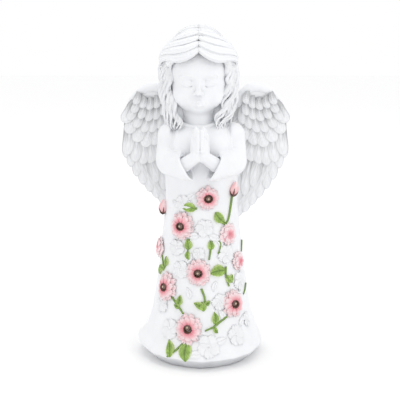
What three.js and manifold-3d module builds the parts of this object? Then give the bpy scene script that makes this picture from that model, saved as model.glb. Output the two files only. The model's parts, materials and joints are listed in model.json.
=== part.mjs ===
// Solar-lit resin garden angel: a hollow robe with glued castings, six lamps and a solar unit.
// Millimetres, +Z up, front towards -Y. The figure's upright axis is x = 0, y = 0 in its own group.
import * as THREE from 'three';
import { mergeVertices } from 'three/addons/utils/BufferGeometryUtils.js';
import Module from 'manifold-3d';

const wasm = await Module();
wasm.setup();

// ---- driving dimensions ----
const GAP = 0.3;              // between two pieces that touch
const AXIS_Y = 5;             // the figure's axis stands this far behind the middle of its base
const HEIGHT = 300;
const BODY_LEAN = -2.5;       // head, collar and hands sit this far to the figure's right
const ROBE_WALL = 5;
const ROBE_TOP = 214;
const CAVITY_TOP = 196;
const HEM_BAND = 40;          // below this height the cavity has straight walls
const FOLDS = 8;
const ROBE_SIDES = 32;        // facets around the robe, four to a fold
const FOLD_TOP = 125;         // the folds fade out at this height
const FOLD_DEPTH = 2;
const LED_RADIUS = 2.5;
const LED_FLANGE = 2.9;
const LED_LENGTH = 8.6;
const LEAD_RADIUS = 0.9;

// Robe sections from the hem to the neck: height, half width, front depth, back depth.
const ROBE_SECTIONS = [
  [0, 47, 54, 44],
  [10, 56, 60, 50],
  [20, 53.5, 54, 47],
  [30, 49.5, 48.5, 43.5],
  [40, 46.5, 44.5, 40.5],
  [60, 42.5, 40, 37],
  [80, 39.5, 37, 34.5],
  [125, 34.3, 32.2, 30.2],
  [150, 32.5, 30.5, 28.5],
  [175, 34, 30, 28.5],
  [195, 36, 29, 27.5],
  [206, 31, 25, 24],
  [211, 22, 19, 19],
  [ROBE_TOP, 14, 13, 13],
];

const rad = THREE.MathUtils.degToRad;
const finish = (color, roughness, metalness) =>
  new THREE.MeshStandardMaterial({ color, roughness, metalness });

const whiteResin = () => finish(0xeceeee, 0.45, 0);
const pinkPaint = () => finish(0xf2a0ac, 0.5, 0);
const leafPaint = () => finish(0x7aa043, 0.5, 0);
const blackPlastic = () => finish(0x1c1d1f, 0.5, 0);
const steel = () => finish(0xb8bcc0, 0.3, 1);

const figure = new THREE.Group();

function piece(name, geometry, material, parent = figure) {
  const mesh = new THREE.Mesh(geometry, material);
  mesh.name = name;
  parent.add(mesh);
  return mesh;
}

// ---- between geometries and manifold solids ----

function solidOf(geometry) {
  const bare = geometry.clone();
  bare.deleteAttribute('normal');
  bare.deleteAttribute('uv');
  const merged = mergeVertices(bare, 1e-4);
  const vertProperties = new Float32Array(merged.attributes.position.array);
  const triVerts = new Uint32Array(merged.index.array);
  return new wasm.Manifold(new wasm.Mesh({ numProp: 3, vertProperties, triVerts }));
}

function geometryOf(solid) {
  const mesh = solid.getMesh();
  const geometry = new THREE.BufferGeometry();
  geometry.setAttribute('position', new THREE.BufferAttribute(mesh.vertProperties, 3));
  geometry.setIndex(new THREE.BufferAttribute(mesh.triVerts, 1));
  return geometry;
}

const joined = (geometries) =>
  geometries.map(solidOf).reduce((whole, part) => whole.add(part));

const placed = (geometry, matrix) => geometry.clone().applyMatrix4(matrix);
const moved = (geometry, x, y, z) => geometry.clone().translate(x, y, z);

// A turned piece with its axis along +Z, from [radius, height] points that start and end on the axis.
function turned(points, segments = 24) {
  const profile = points.map(([r, z]) => new THREE.Vector2(r, z));
  return new THREE.LatheGeometry(profile, segments).rotateX(Math.PI / 2);
}

// A rod of round section along +Z from z = 0.
const rod = (radius, length, segments = 24) =>
  turned([[0, 0], [radius, 0], [radius, length], [0, length]], segments);

// Joined egg shapes, each [half width, half depth, half height, x, y, z], grown by some millimetres.
function eggs(list, grow = 0, across = 8, up = 8) {
  return joined(list.map(([rx, ry, rz, x, y, z]) => {
    const ball = new THREE.SphereGeometry(1, across, up).rotateX(Math.PI / 2);
    return ball.scale(rx + grow, ry + grow, rz + grow).translate(x, y, z);
  }));
}

// A plate with rounded corners, centred on the axis, standing from z = 0 to its thickness.
function roundedPlate(width, height, corner, thickness) {
  const w = width / 2;
  const h = height / 2;
  const shape = new THREE.Shape();
  shape.moveTo(w, h - corner);
  shape.absarc(w - corner, h - corner, corner, 0, Math.PI / 2);
  shape.absarc(corner - w, h - corner, corner, Math.PI / 2, Math.PI);
  shape.absarc(corner - w, corner - h, corner, Math.PI, 1.5 * Math.PI);
  shape.absarc(w - corner, corner - h, corner, 1.5 * Math.PI, 2 * Math.PI);
  return new THREE.ExtrudeGeometry(shape, { depth: thickness, bevelEnabled: false, curveSegments: 2 });
}

// A tube of round section that follows smooth points.
function tube(points, radius, steps, sides = 6) {
  const path = new THREE.CatmullRomCurve3(points);
  const section = new THREE.Shape();
  section.absarc(0, 0, radius, 0, 2 * Math.PI);
  const options = { extrudePath: path, steps, curveSegments: sides / 2, bevelEnabled: false };
  return new THREE.ExtrudeGeometry(section, options);
}

// ---- the robe's surface ----

function robeSection(z) {
  const rows = ROBE_SECTIONS;
  const height = THREE.MathUtils.clamp(z, rows[0][0], ROBE_TOP);
  const i = Math.min(rows.findIndex((row) => row[0] >= height), rows.length - 1);
  const [low, high] = [rows[Math.max(i - 1, 0)], rows[i]];
  const t = high[0] > low[0] ? (height - low[0]) / (high[0] - low[0]) : 0;
  return [1, 2, 3].map((k) => THREE.MathUtils.lerp(low[k], high[k], t));
}

// A point of the robe at an angle from the front (towards +X) and a height, moved out by grow.
function robePoint(angle, z, grow = 0, sectionHeight = z) {
  const [half, front, back] = robeSection(sectionHeight);
  const depth = Math.cos(angle) > 0 ? front : back;
  const fade = Math.max(0, 1 - sectionHeight / FOLD_TOP);
  const valley = FOLD_DEPTH * fade * (1 - Math.cos(FOLDS * angle));
  const radius = grow - valley;
  return new THREE.Vector3(
    (half + radius) * Math.sin(angle),
    -(depth + radius) * Math.cos(angle),
    z,
  );
}

// A closed solid of the robe's form, grown by some millimetres, between two heights.
function robeSolid(grow, bottom, top, segments, straightBelow = 0) {
  const heights = ROBE_SECTIONS.map((row) => row[0]).filter((z) => z > bottom && z < top);
  const profile = [[0, bottom], [1, bottom], ...heights.map((z) => [1, z]), [1, top], [0, top]];
  const geometry = turned(profile, segments);
  const spot = geometry.attributes.position;
  for (let i = 0; i < spot.count; i += 1) {
    const [x, y, z] = [spot.getX(i), spot.getY(i), spot.getZ(i)];
    if (Math.hypot(x, y) > 0.5) {
      const point = robePoint(Math.atan2(x, -y), z, grow, Math.max(z, straightBelow));
      spot.setXYZ(i, point.x, point.y, z);
    }
  }
  return solidOf(geometry);
}

const robeClearance = robeSolid(GAP, -GAP, ROBE_TOP + GAP, ROBE_SIDES);

// A frame on the robe: its +Z stands out of the surface and its +Y points up along it.
function onRobe(angle, z, lift = 0) {
  const point = robePoint(angle, z);
  const along = robePoint(angle + 0.02, z).sub(robePoint(angle - 0.02, z));
  const up = robePoint(angle, z + 1).sub(robePoint(angle, z - 1));
  const out = along.clone().cross(up).normalize();
  const side = up.clone().cross(out).normalize();
  const matrix = new THREE.Matrix4().makeBasis(side, out.clone().cross(side), out);
  return matrix.setPosition(point.addScaledVector(out, lift));
}

// Cuts a piece back to the robe, in the piece's own frame, and places it there.
function seated(name, geometry, place, material) {
  const robe = robeClearance.transform(place.clone().invert().elements);
  const mesh = piece(name, geometryOf(solidOf(geometry).subtract(robe)), material);
  mesh.applyMatrix4(place);
  return mesh;
}

// ---- flowers and lamps ----

// angle from the front in degrees, height, petal radius
const LIT_FLOWERS = [
  [9.7, 150.5, 8.8],
  [-29.8, 125, 10.5],
  [-4.2, 84.3, 11],
  [-49.2, 68, 11.3],
  [-14.4, 35, 12.4],
  [40.3, 54.2, 10.7],
];
const PINK_FLOWERS = [
  [41.6, 117, 8.5],
  [58.7, 90.4, 8.2],
  [-82, 100, 8.5],
];
const PETALS = 5;
const FLOWER_LIFT = 4;        // the petals' outer face over the robe
const FLOWER_DEPTH = 8;       // how deep the uncut flower reaches
const LED_STAND = 1.5;        // the lamp's dome over the petals' face

// Five round petals, from the flower's middle, reaching radius.
function petalShape(radius) {
  const outline = [];
  const steps = PETALS * 5;
  for (let i = 0; i < steps; i += 1) {
    const turn = (2 * Math.PI * i) / steps;
    const reach = radius * (0.8 + 0.2 * Math.abs(Math.cos((PETALS * turn) / 2)));
    outline.push(new THREE.Vector2(reach * Math.sin(turn), reach * Math.cos(turn)));
  }
  return new THREE.Shape(outline.reverse());
}

function flower(radius, bore) {
  const shape = petalShape(radius);
  if (bore > 0) {
    shape.holes.push(new THREE.Path().absarc(0, 0, bore, 0, 2 * Math.PI, true));
  }
  const options = { depth: FLOWER_DEPTH, bevelEnabled: false, curveSegments: 6 };
  return new THREE.ExtrudeGeometry(shape, options).translate(0, 0, FLOWER_LIFT - FLOWER_DEPTH);
}

// Round-topped lamp of 5 mm: dome towards +Z, flange near its back end.
function ledGeometry() {
  const r = LED_RADIUS;
  const dome = [60, 30, 0].map((t) => [r * Math.cos(rad(t)), LED_LENGTH - r + r * Math.sin(rad(t))]);
  const profile = [[0, 0], [LED_FLANGE, 0], [LED_FLANGE, 1], [r, 1], ...dome.reverse(), [0, LED_LENGTH]];
  return turned(profile, 10);
}

const ledBores = [];
const ledBacks = [];
LIT_FLOWERS.forEach(([angle, z, radius], i) => {
  const place = onRobe(rad(angle), z);
  seated(`lit_flower_${i + 1}`, flower(radius, LED_FLANGE + GAP), place, pinkPaint());
  const led = piece(`led_${i + 1}`, ledGeometry(), finish(0xd8c0a8, 0.12, 0));
  const back = FLOWER_LIFT + LED_STAND - LED_LENGTH;
  led.applyMatrix4(place.clone().multiply(new THREE.Matrix4().makeTranslation(0, 0, back)));
  const bore = rod(LED_FLANGE + GAP, 40, 12).translate(0, 0, -20);
  ledBores.push(solidOf(placed(bore, place)));
  ledBacks.push({ place, back });
});
PINK_FLOWERS.forEach(([angle, z, radius], i) => {
  seated(`pink_flower_${i + 1}`, flower(radius, 0), onRobe(rad(angle), z), pinkPaint());
});

// ---- buds and sprigs ----

const BUD = [[0, -6.5], [2.4, -5.6], [3.9, -2.4], [3.6, 1.2], [2, 4.6], [0, 6.5]];
const BUDS = [
  [58, 157, -18],
  [-80, 138, 6],
];
BUDS.forEach(([angle, z, lean], i) => {
  const place = onRobe(rad(angle), z, 2.2);
  const geometry = turned(BUD, 14).rotateX(-Math.PI / 2).rotateZ(rad(lean));
  seated(`bud_${i + 1}`, geometry, place, pinkPaint());
});

// A leaf in its own plane: from the origin to length along +Y, width across X.
function leafShape(length, width) {
  const shape = new THREE.Shape();
  shape.moveTo(0, 0);
  shape.quadraticCurveTo(0.75 * width, 0.42 * length, 0, length);
  shape.quadraticCurveTo(-0.75 * width, 0.42 * length, 0, 0);
  return shape;
}

const LEAF_LIFT = 2.2;
const LEAF_DEPTH = 5;
const STEM_RADIUS = 1.1;

function leafSolid(angle, z, turn, length, width) {
  const options = { depth: LEAF_DEPTH, bevelEnabled: false, curveSegments: 4 };
  const leaf = new THREE.ExtrudeGeometry(leafShape(length, width), options);
  leaf.translate(0, 0, LEAF_LIFT - LEAF_DEPTH).rotateZ(rad(turn));
  return solidOf(placed(leaf, onRobe(rad(angle), z)));
}

function stemSolid(points) {
  const route = points.map(([angle, z]) => {
    const place = onRobe(rad(angle), z, STEM_RADIUS * 0.6);
    return new THREE.Vector3().setFromMatrixPosition(place);
  });
  return solidOf(tube(route, STEM_RADIUS, 6));
}

// Each sprig: its stem's points (angle, height), and its leaves (angle, height, turn, length, width).
const SPRIGS = [
  { stem: [[-7, 141.5], [-13, 140.6], [-18, 140.2]], leaves: [[-9, 141, 86, 13, 7]] },
  { stem: [[55.6, 150], [50, 139], [43, 129], [35, 126.5], [29, 130]], leaves: [[22, 137, -128, 13, 8]] },
  { stem: [[-18, 114], [-19, 107], [-19.2, 99]], leaves: [[-18, 107, 4, 9.5, 5], [-19.2, 98, -8, 9, 4.5]] },
  { stem: [[14.3, 112], [12.5, 104], [10.1, 95.5]], leaves: [[12.8, 103.5, -6, 10, 6]] },
  { stem: [[-53, 92], [-56, 87], [-60, 82]], leaves: [[-58, 84, 118, 9, 5], [-54, 90, -150, 8, 5]] },
  { stem: [[34, 88], [33.5, 79], [37, 70]], leaves: [[33, 86, 97, 14, 9], [33.7, 80, -122, 9, 4.5]] },
  { stem: [[-37.4, 60], [-28, 52], [-22, 46.5]], leaves: [[-30, 54, -22, 9.5, 5]] },
  { stem: [[-0.2, 70], [3.8, 62], [3.5, 55.6]], leaves: [[3.4, 57, 142, 12, 6]] },
  { stem: [[30, 43.8], [17, 37.5], [4, 33.5]], leaves: [[16.5, 37.5, 8, 9, 5]] },
  { stem: [[-19, 22], [-26, 16], [-33, 10.5]], leaves: [[-31, 12.5, 20, 10, 6.5]] },
];
SPRIGS.forEach(({ stem, leaves }, i) => {
  const parts = [stemSolid(stem), ...leaves.map((leaf) => leafSolid(...leaf))];
  const solid = parts.reduce((whole, part) => whole.add(part)).subtract(robeClearance);
  piece(`sprig_${i + 1}`, geometryOf(solid), leafPaint());
});

// ---- head, arms and hands ----

const NECK_SPIGOT = 8;        // radius of the spigot under the head
const SOCKET_BOTTOM = 204;
const CUFF = 6.5;             // radius of the sleeve's open end

// Face, crown of hair, the locks on both shoulders, and the hair down the back.
const HEAD = [
  [28, 30, 34, 0, -5, 258],
  [33.5, 33, 41, 0, 5, HEIGHT - 41],
  [13, 14, 22, -24, -4, 232],
  [13, 14, 22, 24, -4, 232],
  [24, 14, 26, 0, 20, 226],
  [12, 12, 12, 0, 0, 222],
];
const HANDS = [
  [4.5, 7.5, 16, -3.6, -40, 200],
  [4.5, 7.5, 16, 3.6, -40, 200],
  [6.5, 7, 8, -4.5, -38, 186],
  [6.5, 7, 8, 4.5, -38, 186],
];
// Shoulder, elbow, forearm and cuff of one sleeve, and how much of the body's lean each one takes.
const SLEEVE = [
  [12, 15, 14, 27, -3, 200, 0],
  [12.5, 15, 17, 28, -9, 184, 0],
  [13, 17, 11.5, 22, -24, 182, 0.5],
  [9.5, 12, 10.5, 13, -36, 182, 1],
];

const headForm = (grow) => eggs(HEAD, grow, 12, 10).translate(BODY_LEAN, 0, 0);
const handsForm = (grow) => eggs(HANDS, grow).translate(BODY_LEAN, 0, 0);
const spigot = solidOf(moved(rod(NECK_SPIGOT, 20), BODY_LEAN, 0, SOCKET_BOTTOM + GAP));
piece('head_with_hair', geometryOf(headForm(0).subtract(robeClearance).add(spigot)), whiteResin());
piece('praying_hands', geometryOf(handsForm(0).subtract(robeClearance)), whiteResin());

const headClearance = headForm(GAP);
const handsClearance = handsForm(GAP);
const cuffBore = solidOf(moved(rod(CUFF, 40).rotateY(Math.PI / 2), BODY_LEAN - 20, -38, 184));

function sleeve(side) {
  const forms = SLEEVE.map(([rx, ry, rz, x, y, z, share]) =>
    [rx, ry, rz, side * x + share * BODY_LEAN, y, z]);
  return eggs(forms)
    .subtract(cuffBore)
    .subtract(robeClearance)
    .subtract(headClearance)
    .subtract(handsClearance);
}

piece('left_arm', geometryOf(sleeve(1)), whiteResin());
piece('right_arm', geometryOf(sleeve(-1)), whiteResin());

// ---- wings ----

const WING_THICKNESS = 10;
const WING_Y = 25;            // front face of the wing at its root
const WING_SWEEP = 0.0016;    // how quickly the wing curls back towards its tip
const TAB = { x: 12, width: 8, height: 30, depth: 12, z: 175 };

function wing(side) {
  const shape = new THREE.Shape();
  shape.moveTo(6, 150);
  shape.lineTo(6, 198);
  shape.lineTo(26, 205);
  shape.lineTo(28, 238);
  shape.bezierCurveTo(36, 245, 46, 246, 55, 243.5);
  shape.bezierCurveTo(66, 241, 72, 234, 73, 224);
  shape.quadraticCurveTo(76.5, 218, 77, 211);
  shape.quadraticCurveTo(73, 205, 76, 196);
  shape.quadraticCurveTo(77, 188, 76, 180);
  shape.bezierCurveTo(71, 170, 68, 162, 62, 154);
  shape.bezierCurveTo(54, 145, 46, 136, 36, 125);
  shape.quadraticCurveTo(24, 118, 14, 130);
  shape.lineTo(6, 150);
  const options = { depth: WING_THICKNESS, bevelEnabled: false, curveSegments: 7 };
  const plate = new THREE.ExtrudeGeometry(shape, options).rotateX(Math.PI / 2);
  plate.translate(0, WING_Y + WING_THICKNESS, 0);
  const spot = plate.attributes.position;
  for (let i = 0; i < spot.count; i += 1) {
    spot.setY(i, spot.getY(i) + WING_SWEEP * spot.getX(i) ** 2);
  }
  const tab = new THREE.BoxGeometry(TAB.width, TAB.depth, TAB.height);
  tab.translate(TAB.x, WING_Y, TAB.z);
  const turnedOver = (solid) => (side > 0 ? solid : solid.mirror([1, 0, 0]));
  return turnedOver(solidOf(plate))
    .subtract(robeClearance)
    .subtract(headClearance)
    .add(turnedOver(solidOf(tab)));
}

piece('left_wing', geometryOf(wing(1)), whiteResin());
piece('right_wing', geometryOf(wing(-1)), whiteResin());

const tabSlots = [1, -1].map((side) => {
  const slot = new THREE.BoxGeometry(TAB.width + 2 * GAP, TAB.depth + 2 * GAP, TAB.height + 2 * GAP);
  return solidOf(slot.translate(side * TAB.x, WING_Y, TAB.z));
});

// ---- solar unit in the back ----

// Its own frame: +Z out of the panel, +Y up along it, the origin in the land that it seats on.
const SOLAR = { y: 38.4, z: 52, lean: 10 };
const LAND = { width: 56, height: 82, corner: 5 };
const TUB = { width: 40, height: 66, corner: 3, depth: 18, wall: 1.8 };
const BEZEL = { width: 50, height: 76, corner: 4, back: 2.6, face: 5 };
const CELL = { width: 34, height: 44, y: 9 };
const SWITCH_Y = -27;
const SWITCH_TRAVEL = 3;
const PLUG = { width: 30, height: 6, depth: 6, y: 4 };

const lean = rad(SOLAR.lean);
const solarPlace = new THREE.Matrix4().makeBasis(
  new THREE.Vector3(-1, 0, 0),
  new THREE.Vector3(0, -Math.sin(lean), Math.cos(lean)),
  new THREE.Vector3(0, Math.cos(lean), Math.sin(lean)),
).setPosition(0, SOLAR.y, SOLAR.z);
const solar = new THREE.Group();
solar.applyMatrix4(solarPlace);
figure.add(solar);

const slab = (width, height, corner, low, high, x = 0, y = 0) =>
  moved(roundedPlate(width, height, corner, high - low), x, y, low);
const slabSolid = (...sizes) => solidOf(slab(...sizes));
const brick = (width, height, low, high, x, y) =>
  moved(new THREE.BoxGeometry(width, height, high - low), x, y, (low + high) / 2);

const screwSpots = [];
for (const x of [-1, 1]) {
  for (const y of [-1, 1]) {
    screwSpots.push([x * (BEZEL.width / 2 - 2.7), y * (BEZEL.height / 2 - 2.7)]);
  }
}

const FRAME_SCREW = { shank: 0.9, head: 1.8, headHeight: 1.1, length: 8 };
const screwHoles = screwSpots.map(([x, y]) =>
  solidOf(moved(rod(FRAME_SCREW.shank + GAP, 20, 12), x, y, -8)));
const headHoles = screwSpots.map(([x, y]) =>
  solidOf(moved(rod(FRAME_SCREW.head + GAP, 5, 12), x, y, BEZEL.face - FRAME_SCREW.headHeight - GAP)));
const cut = (solid, tools) => tools.reduce((rest, tool) => rest.subtract(tool), solid);

const flange = slabSolid(BEZEL.width, BEZEL.height, BEZEL.corner, 1.3, BEZEL.back - GAP);
const tub = slabSolid(TUB.width, TUB.height, TUB.corner, -TUB.depth, 1.5).add(flange);
const tubInside = slabSolid(
  TUB.width - 2 * TUB.wall, TUB.height - 2 * TUB.wall, 1.5, TUB.wall - TUB.depth, 5);
const plugSlot = solidOf(brick(PLUG.width - 4, 3, -TUB.depth - 1, TUB.wall - TUB.depth + 1, 0, PLUG.y));
const housing = cut(tub, [tubInside, plugSlot, ...screwHoles]);
piece('solar_housing', geometryOf(housing), blackPlastic(), solar);

const gasketInside = slabSolid(TUB.width + 2 * GAP, TUB.height + 2 * GAP, TUB.corner, 0, 2);
const gasketPlate = slabSolid(BEZEL.width, BEZEL.height, BEZEL.corner, GAP, 1);
const gasket = cut(gasketPlate, [gasketInside, ...screwHoles]);
piece('housing_gasket', geometryOf(gasket), finish(0x2a2a2a, 0.9, 0), solar);

const bezelPlate = slabSolid(BEZEL.width, BEZEL.height, BEZEL.corner, BEZEL.back, BEZEL.face);
const cellOpening = slabSolid(CELL.width - 2, CELL.height - 2, 2, 0, 8, 0, CELL.y);
const switchSlot = slabSolid(2 * SWITCH_TRAVEL + 2 * GAP, 2.6, 0.8, 0, 8, 0, SWITCH_Y);
const bezel = cut(bezelPlate, [cellOpening, switchSlot, ...screwHoles, ...headHoles]);
piece('solar_frame', geometryOf(bezel), blackPlastic(), solar);

piece('cell_window', slab(CELL.width, CELL.height, 2, 1.3, 2.3, 0, CELL.y), finish(0xdfe8ee, 0.05, 0), solar);
piece('solar_cell', slab(CELL.width, CELL.height, 2, 0.2, 1, 0, CELL.y), finish(0x152238, 0.3, 0), solar);

screwSpots.forEach(([x, y], i) => {
  const { shank, head, headHeight, length } = FRAME_SCREW;
  const seat = length - headHeight;
  const profile = [[0, 0], [shank, 0.8], [shank, seat], [head, seat], [head, length - 0.3], [0, length]];
  const screw = piece(`frame_screw_${i + 1}`, turned(profile, 10), steel(), solar);
  screw.position.set(x, y, BEZEL.face - length);
});

const BATTERY = { radius: 5.2, length: 44.5, x: -10, z: -8.5, foot: -21.5 };
const battery = turned([
  [0, 0], [BATTERY.radius, 0], [BATTERY.radius, BATTERY.length - 1.4], [1.8, BATTERY.length - 1.4],
  [1.8, BATTERY.length], [0, BATTERY.length],
], 16);
const batteryMesh = piece('battery', battery, finish(0x3f7a4a, 0.4, 0), solar);
batteryMesh.rotation.x = -Math.PI / 2;
batteryMesh.position.set(BATTERY.x, BATTERY.foot, BATTERY.z);

const springRoute = [];
for (let i = 0; i <= 24; i += 1) {
  const turn = (i / 24) * 3 * 2 * Math.PI;
  springRoute.push(new THREE.Vector3(3.4 * Math.cos(turn), (i / 24) * 6.2, 3.4 * Math.sin(turn)));
}
const spring = piece('battery_spring', tube(springRoute, 0.4, 30, 4), steel(), solar);
spring.position.set(BATTERY.x, -28.6, BATTERY.z);
const contactTop = BATTERY.foot + BATTERY.length + GAP;
piece('battery_contact', moved(new THREE.BoxGeometry(8, 0.6, 8), BATTERY.x, contactTop + 0.3, BATTERY.z),
  steel(), solar);

piece('control_board', brick(14, 36, -9, -7.6, 9, 3), finish(0x1f6b3a, 0.5, 0), solar);
piece('switch_body', brick(11, 5, -5, -0.6, 0, SWITCH_Y), finish(0x9aa0a4, 0.4, 1), solar);
piece('switch_knob', brick(SWITCH_TRAVEL - GAP, 2, -GAP, BEZEL.face + 1.2, SWITCH_TRAVEL / 2, SWITCH_Y),
  blackPlastic(), solar);
const plugBack = -TUB.depth - GAP;
piece('lead_plug', brick(PLUG.width, PLUG.height, plugBack - PLUG.depth, plugBack, 0, PLUG.y),
  finish(0xe8e6dc, 0.5, 0), solar);

// ---- leads from the lamps to the plug ----

// Each lead's place across the plug, in the order of the lamps.
const LEAD_PITCH = 4.6;
const LEAD_ORDER = [3, 1, 2, 0, 4, 5];
LIT_FLOWERS.forEach(([, height], i) => {
  const { place, back } = ledBacks[i];
  const inward = (depth) => new THREE.Vector3(0, 0, back - depth).applyMatrix4(place);
  const x = (LEAD_ORDER[i] - 2.5) * LEAD_PITCH;
  const end = new THREE.Vector3(-x, PLUG.y, plugBack - PLUG.depth - GAP).applyMatrix4(solarPlace);
  const route = [inward(GAP), inward(5), inward(12)];
  if (height > 100) {
    route.push(new THREE.Vector3(x, -6, height - 30));
  }
  route.push(new THREE.Vector3(x, 0, (2 * end.z + height) / 3));
  route.push(end.clone().add(new THREE.Vector3(0, -5, 0)), end);
  piece(`led_lead_${i + 1}`, tube(route, LEAD_RADIUS, 18, 6), finish(0xd8d8d4, 0.5, 0));
});

// ---- base plate and its screws ----

const PLATE = 4;
const BASE_SCREW = { shank: 1.5, head: 2.8, headHeight: 2, length: 10, recess: 0.4 };
const BOSS_TOP = 14;
const BOSS_RADIUS = 4.9;
const BOSSES = [[0, 31.3], [26.3, -25.2], [-26.3, -25.2]];

const under = (radius, low, high) =>
  BOSSES.map(([x, y]) => solidOf(moved(rod(radius, high - low, 16), x, y, low)));
const plate = cut(robeSolid(-ROBE_WALL - GAP, 0, PLATE, ROBE_SIDES / 2, HEM_BAND), [
  ...under(BASE_SCREW.shank + GAP, -1, PLATE + 1),
  ...under(BASE_SCREW.head + GAP, -1, BASE_SCREW.recess + BASE_SCREW.headHeight + GAP),
]);
piece('base_plate', geometryOf(plate), blackPlastic());

BOSSES.forEach(([x, y], i) => {
  const { shank, head, headHeight, length, recess } = BASE_SCREW;
  const profile = [
    [0, 0], [head, 0.3], [head, headHeight], [shank, headHeight], [shank, length - 1], [0, length],
  ];
  const screw = piece(`base_screw_${i + 1}`, turned(profile, 12), steel());
  screw.position.set(x, y, recess);
});

// ---- the robe itself ----

const inSolar = (geometry) => solidOf(placed(geometry, solarPlace));
const land = inSolar(slab(LAND.width, LAND.height, LAND.corner, -16, 0));
const aboveLand = inSolar(slab(LAND.width + 6, LAND.height, LAND.corner, 0, 14));
const tubWindow = inSolar(slab(TUB.width + 2 * GAP, TUB.height + 2 * GAP, TUB.corner, -30, 2));
const landScrewHoles = screwSpots.map(([x, y]) =>
  inSolar(moved(rod(FRAME_SCREW.shank + GAP, 10, 12), x, y, -6)));
const socket = solidOf(moved(rod(NECK_SPIGOT + GAP, 20), BODY_LEAN, 0, SOCKET_BOTTOM));
const cavity = robeSolid(-ROBE_WALL, -1, CAVITY_TOP, ROBE_SIDES / 2, HEM_BAND);
const bosses = under(BOSS_RADIUS, PLATE + GAP, BOSS_TOP);

const blank = robeSolid(0, 0, ROBE_TOP, ROBE_SIDES).add(land).subtract(aboveLand).subtract(cavity);
const robe = cut(bosses.reduce((whole, boss) => whole.add(boss), blank), [
  tubWindow, socket, ...landScrewHoles, ...tabSlots, ...ledBores,
  ...under(BASE_SCREW.shank + GAP, 0, BOSS_TOP - 2),
]);
piece('robe_shell', geometryOf(robe), whiteResin());

figure.position.y = AXIS_Y;
const angel = new THREE.Group();
angel.add(figure);

export default angel;
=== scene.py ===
import json
import math

import bpy
import numpy as np
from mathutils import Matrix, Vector


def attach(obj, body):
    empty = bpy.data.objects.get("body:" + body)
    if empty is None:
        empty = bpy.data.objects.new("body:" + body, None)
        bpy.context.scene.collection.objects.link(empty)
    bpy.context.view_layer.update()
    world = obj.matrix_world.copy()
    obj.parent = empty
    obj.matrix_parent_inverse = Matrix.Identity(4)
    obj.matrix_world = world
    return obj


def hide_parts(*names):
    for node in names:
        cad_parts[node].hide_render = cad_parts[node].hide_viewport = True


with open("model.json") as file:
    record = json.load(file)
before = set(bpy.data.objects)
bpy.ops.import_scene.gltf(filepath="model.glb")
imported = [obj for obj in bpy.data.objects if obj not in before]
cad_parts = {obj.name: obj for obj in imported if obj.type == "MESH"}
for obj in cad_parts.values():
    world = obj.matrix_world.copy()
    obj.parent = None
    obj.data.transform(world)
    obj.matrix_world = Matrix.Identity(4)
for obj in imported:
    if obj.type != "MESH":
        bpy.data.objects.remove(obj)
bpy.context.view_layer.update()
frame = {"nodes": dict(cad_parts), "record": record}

# ---- the robe ----
# The body is one hollow casting in white polyester resin: shoulders, collar, long skirt with a
# flared hem that turns in over the ground, and a flat land at the back for the solar unit.

MM = 0.001
AXIS_Y = frame["record"]["mounts"][0]["pos_m"][1] / MM   # the axis stands behind the base's middle
ROBE_TOP = 214.0
WALL = 5.0
CAVITY_TOP = 196.0
HEM_BAND = 40.0
FOLDS = 8
FOLD_TOP = 125.0

# height, half width, front depth, back depth
ROBE_SECTIONS = np.array([
    [0, 46.5, 51, 43], [2.5, 48.5, 53.5, 45], [7, 54.5, 58.6, 48.8], [9.5, 56, 60, 50],
    [12, 55.8, 59.2, 49.9], [20, 52.8, 53.6, 46.8], [30, 49, 48.5, 43.5], [40, 46, 44.5, 40.5],
    [60, 42.5, 40, 37], [80, 39.5, 37, 34.5], [103, 36.8, 34.5, 32], [128, 34, 32, 30],
    [150, 32.5, 30.5, 28.5], [175, 33.5, 30.2, 28.5], [192, 35, 29.8, 27.5], [202, 32.5, 26.5, 25],
    [208, 27.5, 23, 22], [212, 22, 19.5, 19.5], [ROBE_TOP, 19, 16.5, 17],
])


def smooth_rows(rows, z):
    """The rows' columns at heights z, along a curve that never overshoots between two rows."""
    heights = rows[:, 0]
    slopes = np.diff(rows[:, 1:], axis=0) / np.diff(heights)[:, None]
    tangents = np.zeros_like(rows[:, 1:])
    before, after = slopes[:-1], slopes[1:]
    same_way = before * after > 0
    total = np.where(same_way, before + after, 1.0)
    tangents[1:-1] = np.where(same_way, 2 * before * after / total, 0.0)
    tangents[0], tangents[-1] = slopes[0], slopes[-1]
    z = np.clip(z, heights[0], heights[-1])
    i = np.clip(np.searchsorted(heights, z, side="right") - 1, 0, len(heights) - 2)
    span = (heights[i + 1] - heights[i])[..., None]
    t = ((z - heights[i]))[..., None] / span
    a, b = rows[i, 1:], rows[i + 1, 1:]
    return (a * (1 + 2 * t) * (1 - t) ** 2 + b * t * t * (3 - 2 * t)
            + span * (tangents[i] * t * (1 - t) ** 2 - tangents[i + 1] * t * t * (1 - t)))


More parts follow.
